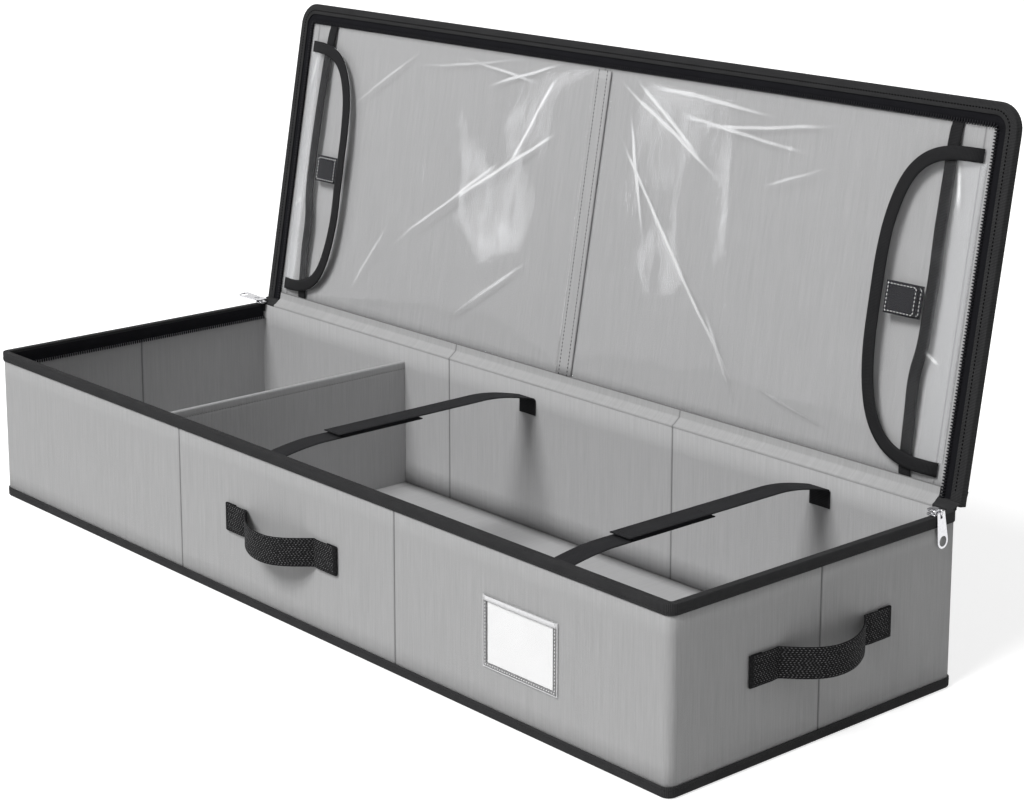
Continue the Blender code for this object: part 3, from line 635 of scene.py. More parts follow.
def hinge_cloth(name, columns, lip, foot_end, paint):
    """A stretch of the strip through columns of (x, crease depth). Its foot on the box
    stops short at the rounded corners."""
    outline = fold_outline(lip)
    rings, shade_and_sheen = [], []
    for x, depth in columns:
        foot = max(-foot_end, min(foot_end, x))
        rings.append([(foot if z < 0.1683 else x, y, z) for y, z in outline])
        # Painted shade: a dark line along the lip, under the film's lower edge, on top of the
        # painted shade in the creases.
        seam_shade = [0.9 if y < 0.1852 and z > 0.1787 else 0.0 for y, z in outline]
        shade_and_sheen.append([max(0.8 * depth, painted_strength) for painted_strength in seam_shade])
    hem = along_route(outline + outline[:1])
    made = loft(name, rings, [x for x, _ in columns], hem, paint, shade_and_sheen=shade_and_sheen)
    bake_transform(made)
    return made


columns = crease_columns(LIP_END, (-THIRD, THIRD), 0.017)
hinge = hinge_cloth("hinge_fold_cloth", columns, 0.012, LIP_END, grey_cloth)
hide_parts("hinge_fold_box", "hinge_fold_lid")
for side, out in (("left", -1), ("right", 1)):
    columns = [(out * x, 0.0) for x in spread(LIP_END, HALF_LONG + 0.0002, 5)]
    tape = hinge_cloth(
        f"hinge_end_tape_{side}", columns, 0.0025, HALF_LONG - 0.0012, black_binding
    )

# Divider
# A board in a sleeve of lining cloth, standing across the box. The sleeve is folded over
# the board's top edge and sewn just under the fold.
DIVIDER, SLEEVE_TOP = -0.2505, 0.146
sleeve_side = 0.00235
top = arc(0, SLEEVE_TOP - sleeve_side, sleeve_side, 180, 0, 10)
inner = arc(0, SLEEVE_TOP - sleeve_side, sleeve_side - CLOTH, 0, 180, 10)
low = FLOOR + 0.0003
seam_z = SLEEVE_TOP - 0.0085
pinch = lambda z: 0.0004 * hill(z - seam_z, 0.0011)
walls = spread(low, SLEEVE_TOP - 0.016, 4) + spread(SLEEVE_TOP - 0.014, SLEEVE_TOP - 0.004, 10)
outer_left = [(-sleeve_side + pinch(z), z) for z in walls]
outer_right = [(-a, z) for a, z in reversed(outer_left)]
sleeve_outline = outer_left + top + outer_right
sleeve_outline += [(a - CLOTH, z) for a, z in outer_right[::-1]] + inner
sleeve_outline += [(a + CLOTH, z) for a, z in outer_left[::-1]]
hem = along_route(sleeve_outline + sleeve_outline[:1])
ys = spread(-0.1728, 0.1728, 24)
rings = [[(DIVIDER + a, y, z) for a, z in sleeve_outline] for y in ys]
sleeve = loft("divider_sleeve", rings, ys, hem, grey_lining)
dress(sleeve, "box", "grey_lining", "divider_cover")
seams = []
for side in (-1, 1):
    seam_x = DIVIDER + side * (sleeve_side - 0.0003)
    seams.append([(seam_x, y, seam_z) for y in (-0.1715, 0.1715)])
grains("divider_stitches", seams, "box", grey_thread, grain=(0.0024, 0.0005, 0.0006))

# Zip on the box
# A woven nylon tape sewn inside the rim, with the coil along its lower edge.
zip_tape = tape_finish("zip_tape", (0.012, 0.012, 0.015), (0.004, 0.004, 0.005), 0.0010, 0.84)
BAND_LOW, BAND_TOP, BAND = 0.149, 0.162, 0.0008
band = [(BAND / 2, BAND_LOW), (BAND / 2, BAND_TOP), (-BAND / 2, BAND_TOP), (-BAND / 2, BAND_LOW)]
route = finer(three_sides(0.0069, 0.0022, RIM_END))
box_tape = swept("box_zip_band", route, eased(band, 0.0003, 2), zip_tape)
dress(box_tape, "box", "zip_tape", "box_zip_tape")
nylon = mottled(
    "nylon_coil", 420.0, (0.003, 0.003, 0.004), (0.012, 0.012, 0.015), (0.50, 0.2), 0.15, 0.0001
)
COIL_STEP, COIL_Z = 0.0029, 0.1477
coil_line = level_line(three_sides(0.0076, 0.0016, RIM_END), COIL_Z)
box_coil = grains(
    "box_zip_coil_teeth", [coil_line], "box", nylon, COIL_STEP, (0.0019, 0.0023, 0.0046)
)
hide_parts("box_zip_coil")

# Webbing handles
# Each is one length of 28 mm black polypropylene webbing, woven in a twill. Both ends
# are folded under and sewn to the wall, and the middle stands off it for the hand.
black_webbing, yarn, shader = finish_of("black_webbing", Specular_IOR_Level=0.1)
cut, along, across = cut_of(yarn)
LANE, PICK = 0.0072, 0.0034
lane = (across * (1 / LANE)).maths("FRACT")
chevron = (lane - 0.5).maths("ABSOLUTE")
slope = along * (2 * math.pi / PICK) + chevron * (4 * math.pi)
twill = slope.maths("SINE") * 0.5 + 0.5
ends = (across * (8 * math.pi / LANE)).maths("SINE") * 0.5 + 0.5
fuzz = cut.speckle((420.0, 420.0, 1.0), 3.0, 0.6)
floats_and_sheen = (twill * ends).within(0.3, 0.85) * fuzz.within(0.3, 0.6)


def dark_at_folds(along, length):
    """The last few millimetres at each folded end, where the weave is pressed flat and the painted
    sheen of its floats fades out.
    """
    from_middle = (along - length / 2).maths("ABSOLUTE")
    return from_middle.within(length / 2 - 0.0192, length / 2 - 0.0184, 1.0, 0.15)


def ribbon(name, spine, across, width, thick, paint, place=None):
    """A strip of webbing or tape: its cross-section carried along a spine of points."""
    across = Vector(across).normalized()
    half, t = width / 2, thick / 2
    outline = [(-half, -t * 0.45), (-half + t * 0.7, -t)]
    outline += [(v, -t) for v in spread(-half * 0.8, half * 0.8, 4)]
    outline += [(half - t * 0.7, -t), (half, -t * 0.45)]
    outline += [(-v, -o) for v, o in outline]
    hem = [v for v, _ in outline + outline[:1]]
    spine = [Vector(spot) for spot in spine]
    rings = []
    for i, here in enumerate(spine):
        heading = (spine[min(i + 1, len(spine) - 1)] - spine[max(i - 1, 0)]).normalized()
        face = across.cross(heading).normalized()
        rings.append([here + across * v + face * o for v, o in outline])
    return loft(name, rings, along_route(spine), hem, paint, place=place, sharp=50)


HANDLE_Z, WEBBING_WIDE, WEBBING_THICK = 0.085, 0.028, 0.0014
LOOP_HALF, BULGE, DROOP, LOOP_FLAT = 0.0545, 0.0262, 0.0035, 2.15


def handle_spine():
    """Places from the folded end, along the wall and round the hand loop: along, out, down."""
    left = [(-0.0735, -0.0010), (-0.0800, -0.0010), (-0.0866, -0.0010), (-0.0877, -0.0013)]
    left += [(-0.0880, -0.0018), (-0.0877, -0.0023), (-0.0866, -0.0026), (-0.0800, -0.0027)]
    left += [(-0.0700, -0.0028), (-0.0620, -0.0029)]
    left = [(along, out, 0.0) for along, out in left]
    loop = []
    for turn in spread(-math.pi + 0.10, -0.10, 44):
        along = -math.cos(turn)
        far = (1 - abs(along) ** LOOP_FLAT) ** 0.96
        loop.append((-LOOP_HALF * along, -0.0016 - (BULGE - 0.0016) * far, -DROOP * far * far))
    return left + loop + [(-along, out, down) for along, out, down in reversed(left)]


floats_and_sheen = floats_and_sheen * dark_at_folds(along, along_route(handle_spine())[-1])
# The pale colour of the weave's floats is painted sheen.
wire(
    shader,
    Base_Color=floats_and_sheen.mixed((0.008, 0.008, 0.0085), (0.180, 0.180, 0.184)),
    Roughness=0.85 - 0.35 * floats_and_sheen,
    Normal=raised(floats_and_sheen * 0.8 + fuzz * 0.2, 0.0005),
)


for side, middle, angle in (
    ("front", (0, -HALF_DEEP), 0),
    ("right", (HALF_LONG, 0), 90),
    ("left", (-HALF_LONG, 0), -90),
):
    place = Matrix.Translation((*middle, HANDLE_Z)) @ Matrix.Rotation(math.radians(angle), 4, "Z")
    name, spine = f"handle_{side}_webbing", handle_spine()
    handle = ribbon(name, spine, (0, 0, 1), WEBBING_WIDE, WEBBING_THICK, black_webbing, place)
    start, end = place @ Vector((0, -0.0036, 0)), place @ Vector((0, -0.0110, 0))
    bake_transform(handle)
    ends = ("left_end", "right_end") if side == "front" else ("front_end", "back_end")
    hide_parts(f"handle_{side}_loop", *(f"handle_{side}_{end}" for end in ends))
    lines = []
    for s in (-1, 1):
        near, far, bar_x, edge, proud = s * 0.0600, s * 0.0858, s * 0.0845, 0.0120, -0.0036
        box = [(far, proud, -edge), (far, proud, edge), (near, proud, edge)]
        box += [(near, proud, -edge), (far, proud, -edge)]
        bar = [(bar_x, proud, -edge), (bar_x, proud, edge)]
        lines += [[place @ Vector(spot) for spot in line] for line in (box, bar)]
    name = f"handle_{side}_stitches"
    grains(name, lines, "box", black_thread, 0.0032, (0.0023, 0.0006, 0.0006))

# Clear film
# Supple PVC film, clear and glossy. What lies behind it shows through, dulled a little
# by the film. Painted highlights run along its creases, painted glare lies in patches, and painted
# sheen whitens the flaps' film near their roots.
clear_film, yarn, shader = finish_of("clear_film", Metallic=1.0)
cut, _, _ = cut_of(yarn)
waves = cut.speckle((17.0, 6.5, 1.0), 3.0, 0.55)
ripples = cut.speckle((8.0, 21.0, 3.0), 3.0, 0.55)
sheer = cut.speckle((40.0, 40.0, 5.0), 3.0)
wander = cut.node("ShaderNodeTexNoise", inputs={"Vector": cut, "Scale": 9.0}, output=1)
drift = {"operation": "MULTIPLY_ADD"}
bent = cut.node("ShaderNodeVectorMath", drift, {0: wander, 1: (0.010, 0.010, 0.0), 2: cut})
# Creases of the two lid pockets, each with a painted highlight: x and y of one end, of the other,
# and how bright the highlight shows
FOLDS = (
    (0.02, -0.145, 0.20, -0.055, 0.8), (0.045, -0.150, 0.17, -0.070, 0.6),
    (0.03, -0.100, 0.26, 0.150, 1.0), (0.12, -0.115, 0.31, -0.100, 0.6),
    (0.14, -0.105, 0.34, -0.130, 0.7), (0.24, -0.060, 0.33, -0.090, 0.5),
    (0.19, 0.060, 0.25, 0.155, 0.6), (0.26, 0.125, 0.37, 0.150, 0.6),
    (-0.05, -0.148, -0.17, -0.110, 0.8), (-0.08, -0.120, -0.22, -0.140, 0.6),
    (-0.04, -0.080, -0.20, 0.020, 0.9), (-0.12, -0.040, -0.30, 0.090, 0.7),
    (-0.28, -0.140, -0.40, -0.060, 0.6), (-0.06, 0.060, -0.19, 0.150, 0.8),
    (-0.30, 0.060, -0.36, 0.150, 0.5), (0.05, -0.120, 0.10, 0.020, 0.7),
    (0.07, -0.140, 0.26, -0.128, 0.6), (-0.06, -0.135, -0.12, -0.020, 0.7),
    (-0.10, -0.148, -0.30, -0.118, 0.5), (0.472, -0.118, 0.480, -0.070, 1.0),
    (-0.472, -0.118, -0.480, -0.070, 1.0), (0.466, 0.055, 0.484, 0.066, 0.9),
    (-0.466, 0.055, -0.484, 0.066, 0.9),
)


def fold_highlight(start_x, start_y, end_x, end_y, painted_strength):
    """A painted highlight: a soft pale line along one crease."""
    start, end = Vector((start_x, start_y, 0)), Vector((end_x, end_y, 0))
    run = (end - start).normalized()
    away = bent.node("ShaderNodeVectorMath", {"operation": "SUBTRACT"}, {0: bent, 1: start})
    dot = {"operation": "DOT_PRODUCT"}
    on = away.node("ShaderNodeVectorMath", dot, {0: away, 1: run}, 1)
    off = away.node("ShaderNodeVectorMath", dot, {0: away, 1: (-run.y, run.x, 0)}, 1)
    half = (end - start).length / 2
    across = off.maths("ABSOLUTE").within(0.0002, 0.0026, painted_strength, 0.0)
    return across * (on - half).maths("ABSOLUTE").within(0.2 * half, half, 1.0, 0.0)


# Painted highlights along the creases.
fold_highlights = fold_highlight(*FOLDS[0])
for fold in FOLDS[1:]:
    fold_highlights = fold_highlights.maths("MAXIMUM", fold_highlight(*fold))
fold_highlights = fold_highlights * (sheer * 0.8 + 0.4)
glare = cut.speckle((7.0, 11.0, 1.0), 3.0, 0.55).within(0.56, 0.78)
# Painted sheen: whiter, rougher film near each flap's root.
root_sheen = cut.node("ShaderNodeAttribute", {"attribute_name": "crease"}, output=2)
rim = yarn.node("ShaderNodeLayerWeight", inputs={"Blend": 0.12}, output=0)
wire(
    shader,
    Base_Color=fold_highlights.mixed((0.90, 0.91, 0.93), (1.0, 1.0, 1.0)),
    Roughness=0.06 + 0.45 * fold_highlights + 0.35 * root_sheen,
    Alpha=0.008 + rim * 0.16 + fold_highlights * 0.26 + glare * 0.016 + root_sheen * 0.12,
    Normal=raised(waves * 0.6 + ripples * 0.4, 0.003, 0.5),
)

# Label pocket
# A small film pocket welded and sewn to the front wall along its sides and foot, open at
# the top, with a plain white card in it. The film's cut edge, thicker where it is welded, is painted
# pale as a glint, and the hem along the top is a whiter strip. A dark band along the seam is painted
# shadow.
LABEL, LABEL_FILM = 0.342, 0.0003
face_y = -HALF_DEEP - 0.0003


def label_out(x, z):
    """How far the film stands off the wall: flat on its hem, and bowed over the card."""
    u, v = abs(x) / 0.0415, (z - 0.051) / 0.057
    hem = held((0.0465 - abs(x)) / 0.004) * held((z - 0.0465) / 0.004)
    bow = 0.0003 * max(0.0, 1 - u * u) * held(0.3 + v)
    return 0.0005 + 0.0009 * hem + bow


def label_sheet(name, xs, zs, off, paint, side):
    rows = [[(LABEL + x, face_y - label_out(x, z) - off, z) for x in xs] for z in zs]
    return sheeting(name, rows, plan_of(xs, zs), paint, LABEL_FILM, side)


xs, zs = spread(-0.0475, 0.0475, 38), spread(0.046, 0.112, 30)
label_film = label_sheet("label_pocket_film", xs, zs, 0.0, clear_film, -1)
dress(label_film, "box", "clear_film", "label_pocket")
hem = [(0.0447, 0.1110), (0.0447, 0.0492), (-0.0440, 0.0492), (-0.0440, 0.1110)]
grains(
    "label_pocket_stitches",
    [[(LABEL + a, face_y - 0.0016, z) for a, z in hem]],
    "box",
    white_thread,
    0.0031,
    (0.0020, 0.0012, 0.0008),
    (0, -1, 0),
)
# Painted glint on the film's cut edge; the same pale finish makes the hem at the top.
frost_and_glint = mottled(
    "frosted_film_and_glint", 700.0, (0.50, 0.50, 0.51), (0.88, 0.88, 0.89), (0.20, 0.3), 0.6
)
on_wall = Matrix.Translation((LABEL, face_y, 0)) @ Matrix.Rotation(math.radians(90), 4, "X")
route = [(-0.0469, 0.1118), (-0.0469, 0.0466), (0.0469, 0.0466), (0.0469, 0.1118)]
outline = [(-0.0005, 0.0004), (0.0005, 0.0004), (0.0003, 0.0012), (-0.0003, 0.0012)]
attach(swept("label_pocket_edge", route, outline, frost_and_glint, on_wall), "box")
# Painted shadow: a dark band along the seam, under the stitches.
seam_shadow = mottled(
    "painted_seam_shadow", 420.0, (0.150, 0.150, 0.152), (0.300, 0.300, 0.303), (0.30, 0.2), 0.4
)
route = [(-0.0440, 0.1064), (-0.0440, 0.0491), (0.0447, 0.0491), (0.0447, 0.1064)]
outline = [(-0.0015, 0.0006), (0.0015, 0.0006), (0.0013, 0.0014), (-0.0013, 0.0014)]
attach(swept("label_pocket_seam_shadow", route, outline, seam_shadow, on_wall), "box")
xs, zs = spread(-0.0466, 0.0466, 24), (0.1068, 0.1090, 0.1114)
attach(label_sheet("label_pocket_hem", xs, zs, 0.0002, frost_and_glint, 1), "box")
white_card, yarn, shader = finish_of("white_card", Roughness=0.55)
place = yarn.node("ShaderNodeTexCoord", output=3)
tooth = place.speckle((1500.0,) * 3, 3.0, 0.6)
tone = place.speckle((30.0,) * 3)
paper = (tooth * 0.5 + tone * 0.5).mixed((0.80, 0.80, 0.80), (0.93, 0.93, 0.93))
wire(shader, Base_Color=paper, Normal=raised(tooth, 0.0001))
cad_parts["label_card"].material_slots[0].material = white_card

# Hold-down straps
# Two pairs of 25 mm tapes sewn inside the front and back walls. The back half lies over
# the front half, and hook-and-loop patches between them hold the pair together.
strap_tape = tape_finish("strap_tape", (0.026, 0.026, 0.028), (0.009, 0.009, 0.010), 0.0016, 0.7)
pile, yarn, shader = finish_of("hook_and_loop", Specular_IOR_Level=0.12)
place = yarn.node("ShaderNodeTexCoord", output=3)
hooks = place.node("ShaderNodeTexVoronoi", inputs={"Vector": place, "Scale": 900.0})
loops = place.speckle((1200.0,) * 3)
wire(
    shader,
    Base_Color=(hooks * 0.7 + loops * 0.3).mixed((0.036, 0.036, 0.040), (0.010, 0.010, 0.012)),
    Roughness=0.88 + 0.1 * loops,
    Normal=raised(1 - hooks, 0.0003),
)
STRAP_WIDE, STRAP_THICK, PATCH_THICK = 0.025, 0.0011, 0.0006
ROOT_Z, LAY_BACK, LAY_FRONT = 0.149, 0.1608, 0.1575
HOOK_Z, LOOP_Z, RISE = 0.1596, 0.1587, 0.070
PATCH = (-0.080, 0.015)


def strap_spine(x, root_y, tip_y, flat_z, wall_y):
    """Up the wall from its sewn end, over the bend at the root and level to the tip."""
    toward = math.copysign(1, tip_y - root_y)
    tab = [(x, wall_y, ROOT_Z - d) for d in (0.018, 0.012, 0.006)]
    tab += [(x, wall_y * 0.5 + root_y * 0.5, ROOT_Z - 0.0015)]
    rise = []
    for t in spread(0.02, 1, 20):
        z = ROOT_Z + (flat_z - ROOT_Z) * math.sin(math.pi / 2 * t)
        rise.append((x, root_y + toward * RISE * t, z))
    level = [(x, y, flat_z) for y in spread(root_y + toward * (RISE + 0.008), tip_y, 16)]
    return tab + rise + level


for side, x in (("left", -0.042), ("right", 0.365)):
    for half, root_y, tip_y, flat_z, wall_y in (
        ("front", -0.1685, 0.020, LAY_FRONT, -0.1722),
        ("back", 0.1721, -0.085, LAY_BACK, 0.1722),
    ):
        body = f"strap_{side}_{half}_half"
        spine = strap_spine(x, root_y, tip_y, flat_z, wall_y)
        name = f"strap_{side}_{half}_tape"
        strap = ribbon(name, spine, (1, 0, 0), STRAP_WIDE, STRAP_THICK, strap_tape)
        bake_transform(strap)
        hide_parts(f"strap_{side}_{half}")
        kind, z = ("loop", LOOP_Z) if half == "front" else ("hook", HOOK_Z)
        name, spine = f"strap_{side}_{kind}_pad", [(x, y, z) for y in spread(*PATCH, 8)]
        patch = ribbon(name, spine, (1, 0, 0), STRAP_WIDE - 0.001, PATCH_THICK, pile)
        dress(patch, body, "hook_loop", f"strap_{side}_{kind}_patch")
        up = flat_z + 0.0006 if half == "back" else flat_z - 0.0006
        a, b, c = PATCH[0] + 0.002, PATCH[1] - 0.002, STRAP_WIDE / 2 - 0.0025
        seam = [(x - c, a, up), (x + c, a, up), (x + c, b, up), (x - c, b, up), (x - c, a, up)]
        name = f"strap_{side}_{half}_stitches"
        grains(name, [seam], body, black_thread, grain=(0.0024, 0.0005, 0.0005))

# Lid panel
# Two boards side by side between the outer cloth and the lining. The seam down the
# middle is where they meet, so that the empty organizer folds flat.
LID_CORNER, TUCK = 0.025, 0.4862


def lid_half_width(y, inset):
    """Half the lid's width at a place along its depth, rounded at the two front corners."""
    x, deep, r = HALF_LONG - inset, HALF_DEEP - inset, LID_CORNER - inset
    down = max(0.0, (-deep + r) - y)
    return x - r + math.sqrt(max(r * r - down * down, 0.0))


def lid_sheet(name, inset, h, paint, thick, side, lift=None):
    """A sheet over the whole lid, drawn closed over the box and then turned open."""
    lift = lift or (lambda x, y: 0.0)
    deep, r = HALF_DEEP - inset, LID_CORNER - inset
    ys = [-deep + r * (1 - math.cos(math.pi / 2 * t)) for t in spread(0, 1, 10)]
    ys += spread(-deep + r, deep, 16)[1:]
    full, hold = HALF_LONG - inset, 0.47
    columns = crease_columns(full, (0.0, -TUCK, TUCK), 0.026)
    xs = [x for x, _ in columns]
    # The crease depths only darken the cloth: painted shade along the middle seam and the flap
    # roots.
    rows, cuts, painted_light = [], [], [[0.7 * depth for _, depth in columns]] * len(ys)
    for y in ys:
        wide = lid_half_width(y, inset)
        row = []
        for x in xs:
            beyond = max(0.0, abs(x) - hold) / (full - hold)
            place = min(abs(x), hold) + beyond * (wide - hold)
            row.append(math.copysign(place, x))
        rows.append([(x, y, HINGE.z + h + lift(x, y)) for x in row])
        cuts.append([(x, y) for x in row])
    return sheeting(name, rows, cuts, paint, thick, side, lid_open, painted_light)


def middle_seam(x, y):
    """The cloth dips between the two boards."""
    return -0.0005 * hill(x, 0.0012)


lid_cover = lid_sheet("lid_cover_cloth", 0.0013, 0.0113, grey_cloth, 0.001, -1, middle_seam)
dress(lid_cover, "lid", "grey_cloth", "lid_cover")


def flap_seam(x, y):
    """The lining is tucked along each flap's root, which leaves a low ridge."""
    return -0.0007 * hill(abs(x) - TUCK, 0.0016)


lid_lining = lid_sheet("lid_lining_cloth", 0.0013, 0.0059, grey_lining, CLOTH, 1, flap_seam)
dress(lid_lining, "lid", "grey_lining", "lid_lining")

# Lid binding
# Black tape wrapped round the lid's edge on three sides, over the zip tape. A row of
# stitches runs along its inner third, on both faces of the lid.
LID_UNDER, LID_TOP, LID_END = 0.172, 0.1811, 0.1657
lid_outline = [(0.0, LID_UNDER), (0.0, LID_TOP), (-0.010, LID_TOP), (-0.010, LID_TOP - TAPE)]
lid_outline += [(-TAPE, LID_TOP - TAPE), (-TAPE, LID_UNDER + TAPE)]
lid_outline = eased(lid_outline + [(-0.012, LID_UNDER + TAPE), (-0.012, LID_UNDER)], 0.0016, 4)
bound = finer(three_sides(0, LID_CORNER, HALF_DEEP + 0.0018))
lid_binding = swept("lid_binding_tape", bound, lid_outline, black_binding, lid_open)
dress(lid_binding, "lid", "black_binding", "lid_binding")


def lid_line(inset, end, z):
    """A line round the lid's three sides, drawn closed over the box and then turned open."""
    return [lid_open @ Vector((x, y, z)) for x, y in three_sides(inset, LID_CORNER - inset, end)]


lid_up = tuple(lid_open.to_3x3() @ Vector((0, 0, 1)))
# Painted shade: thread darker than the black thread, standing for the shade in the sunken stitch
# holes.
stitch_hole_shade = thread_finish("stitch_hole_shade", (0.003, 0.003, 0.003), (0.001, 0.001, 0.001), 0.02)
seams = [lid_line(0.0075, LID_END, LID_UNDER - 0.0002), lid_line(0.0074, LID_END, LID_TOP + 0.0002)]
bead = (0.0023, 0.0015, 0.0008)
grains("lid_binding_stitches", seams, "lid", stitch_hole_shade, grain=bead, up=lid_up)

# Zip on the lid
# The other half of the zip: its tape comes out from under the binding, and the coil
# runs along its inner edge.
LID_TAPE = 0.1733
lid_route = finer(three_sides(0, LID_CORNER, HALF_DEEP - 0.0012))
band = [(-0.002, LID_TAPE), (-0.002, LID_TAPE + BAND)]
band = eased(band + [(-0.0222, LID_TAPE + BAND), (-0.0222, LID_TAPE)], 0.0003, 2)
lid_tape = swept("lid_zip_band", lid_route, band, zip_tape, lid_open)
dress(lid_tape, "lid", "zip_tape", "lid_zip_tape")
coil_line, coil = lid_line(0.0212, HALF_DEEP - 0.003, LID_TAPE - 0.0012), (0.0019, 0.0058, 0.0024)
lid_coil = grains("lid_zip_coil_teeth", [coil_line], "lid", nylon, COIL_STEP, coil, lid_up)
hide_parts("lid_zip_coil")

# Lid pockets
# Two big film pockets sewn along three edges and open towards the lid's ends. A strip
# of lining cloth covers their inner edges down the middle of the lid.
FIELD_TOP, MOUTH, FILM_IN, FILM_Z = -0.152, 0.4555, 0.0113, 0.17385
FILM, MOUTH_TAPE_HALF, STRIP_HALF = 0.0004, 0.0065, 0.011
CROWN, CRUMPLE = 0.009, 0.0016
soft_tape = tape_finish("soft_tape", (0.025, 0.025, 0.026), (0.010, 0.010, 0.011), 0.0013)
dark_thread = thread_finish("dark_thread", (0.050, 0.050, 0.052), (0.015, 0.015, 0.016))


def crown(x, y):
    """How far the pocket film stands off the lining."""
    u = held((MOUTH - x) / (MOUTH - FILM_IN))
    v = held((y - FIELD_TOP) / (LID_END - FIELD_TOP))
    lengthwise = (4 * v * (1 - v)) ** 0.55
    if u < 0.4:
        across = 0.58 + 0.42 * math.sin(math.pi / 2 * u / 0.4)
    else:
        across = max(math.cos(math.pi / 2 * (u - 0.4) / 0.6), 0) ** 0.55
    return CROWN * lengthwise * across


def crumple(x, y, seed):
    """Sharp folds that cross each other, as film keeps them from the way it was packed."""
    a = noise.noise(Vector((x * 11 + y * 5, y * 7 - x * 3, seed)))
    b = noise.noise(Vector((x * 5 - y * 9, y * 13 + x * 6, seed + 7)))
    c = noise.noise(Vector((x * 24, y * 24, seed + 3)))
    return (0.45 - abs(a)) * 1.1 + (0.4 - abs(b)) * 0.8 + 0.2 * c


def mouth_shift(y):
    """The mouth's edge isn't straight: slack in the film lets it wander and kink."""
    s = HINGE.y - y
    wander = 0.0030 * math.tanh((s - 0.118) / 0.012) * hill(s - 0.17, 0.15)
    return wander + 0.0008 * noise.noise(Vector((s * 30, 0.3, 0.9)))


def pocket_height(x, y, seed):
    """The crown and its crumples, which die away towards the sewn edges."""
    edge = min((4 * max((y - FIELD_TOP) * (LID_END - y), 0) / 0.1009) ** 0.6, 1.0)
    inner = held((x - FILM_IN) / 0.05)
    return crown(x, y) + CRUMPLE * crumple(x, y, seed) * edge * inner


turns = spread(0, math.pi, 64)
rows_y = [FIELD_TOP + (LID_END - FIELD_TOP) * (1 - math.cos(turn)) / 2 for turn in turns]
for side, out, seed in (("left", -1, 1.0), ("right", 1, 5.0)):
    rows, cuts = [], []
    for y in rows_y:
        edge = MOUTH + mouth_shift(y)
        xs = spread(FILM_IN, edge, 90)
        rows.append([(out * x, y, FILM_Z - pocket_height(x, y, seed)) for x in xs])
        cuts.append([(out * x, y) for x in xs])
    film = sheeting(f"pocket_{side}_film", rows, cuts, clear_film, FILM, 0, lid_open)
    dress(film, "lid", "clear_film", f"pocket_film_{side}")

    # The mouth's edge is bound in black tape.
    rows, cuts, over = [], [], spread(-MOUTH_TAPE_HALF, MOUTH_TAPE_HALF, 4)
    for y in [FIELD_TOP - 0.0035] + rows_y:
        edge = MOUTH + mouth_shift(y)
        off = FILM_Z - pocket_height(min(edge, MOUTH), max(y, FIELD_TOP), seed) - 0.0013
        rows.append([(out * (edge + d), y, off) for d in over])
        cuts.append([(y, d) for d in over])
    edging = sheeting(f"mouth_{side}_tape", rows, cuts, soft_tape, 0.0009, 0, lid_open)
    dress(edging, "lid", "black_binding", f"mouth_tape_{side}")

xs, ys = spread(-STRIP_HALF, STRIP_HALF, 10), spread(FIELD_TOP, LID_END, 30)
swell = lambda x, y: -0.0006 * (1 - (x / STRIP_HALF) ** 4)
name = "pocket_centre_cloth"
centre = flat_cloth(name, xs, ys, 0.1733, grey_lining, CLOTH, -1, swell, lid_open)
dress(centre, "lid", "grey_lining", "pocket_centre_strip")
seams = [[on_lid(x, s, 0.0033) for s in (0.0125, 0.3295)] for x in (-0.0062, 0.0062)]
bead = (0.0027, 0.0010, 0.0007)
grains("pocket_centre_stitches", seams, "lid", dark_thread, 0.0040, bead, lid_up)

# Mouth flaps
# A D of film sewn to the lid beside each mouth, edged in black tape. A hook patch in the
# flap meets a loop patch on the pocket.
FLAP_ROOT, FLAP_REACH, FLAP_LONG, FLAP_BACK, SQUARED_OFF = 0.4937, 0.100, 0.295, 0.160, 2 / 3.2
FLAP_MID, FLAP_TAPE, FLAP_HEM = FLAP_BACK - FLAP_LONG / 2, 0.013, 0.004


def flap_off(x, y, seed):
    """How far the flap stands off the lining: over the pocket, and down to its seam."""
    seam = held((FLAP_ROOT - x) / (FLAP_ROOT - MOUTH))
    over = pocket_height(min(x, MOUTH), y, seed) + 0.0032
    return over * math.sin(math.pi / 2 * seam)


def flap_edge(steps=72):
    points = []
    for turn in spread(-math.pi / 2, math.pi / 2, steps):
        reach = max(math.cos(turn), 0) ** SQUARED_OFF
        along = math.copysign(abs(math.sin(turn)) ** SQUARED_OFF, turn)
        x = FLAP_ROOT - FLAP_HEM - (FLAP_REACH - FLAP_HEM) * reach
        points.append((x, FLAP_MID + FLAP_LONG / 2 * along))
    edge = []
    for i, (x, y) in enumerate(points):
        ax, ay = points[max(i - 1, 0)]
        bx, by = points[min(i + 1, len(points) - 1)]
        size = math.hypot(bx - ax, by - ay)
        edge.append((x, y, (by - ay) / size, -(bx - ax) / size))
    return edge


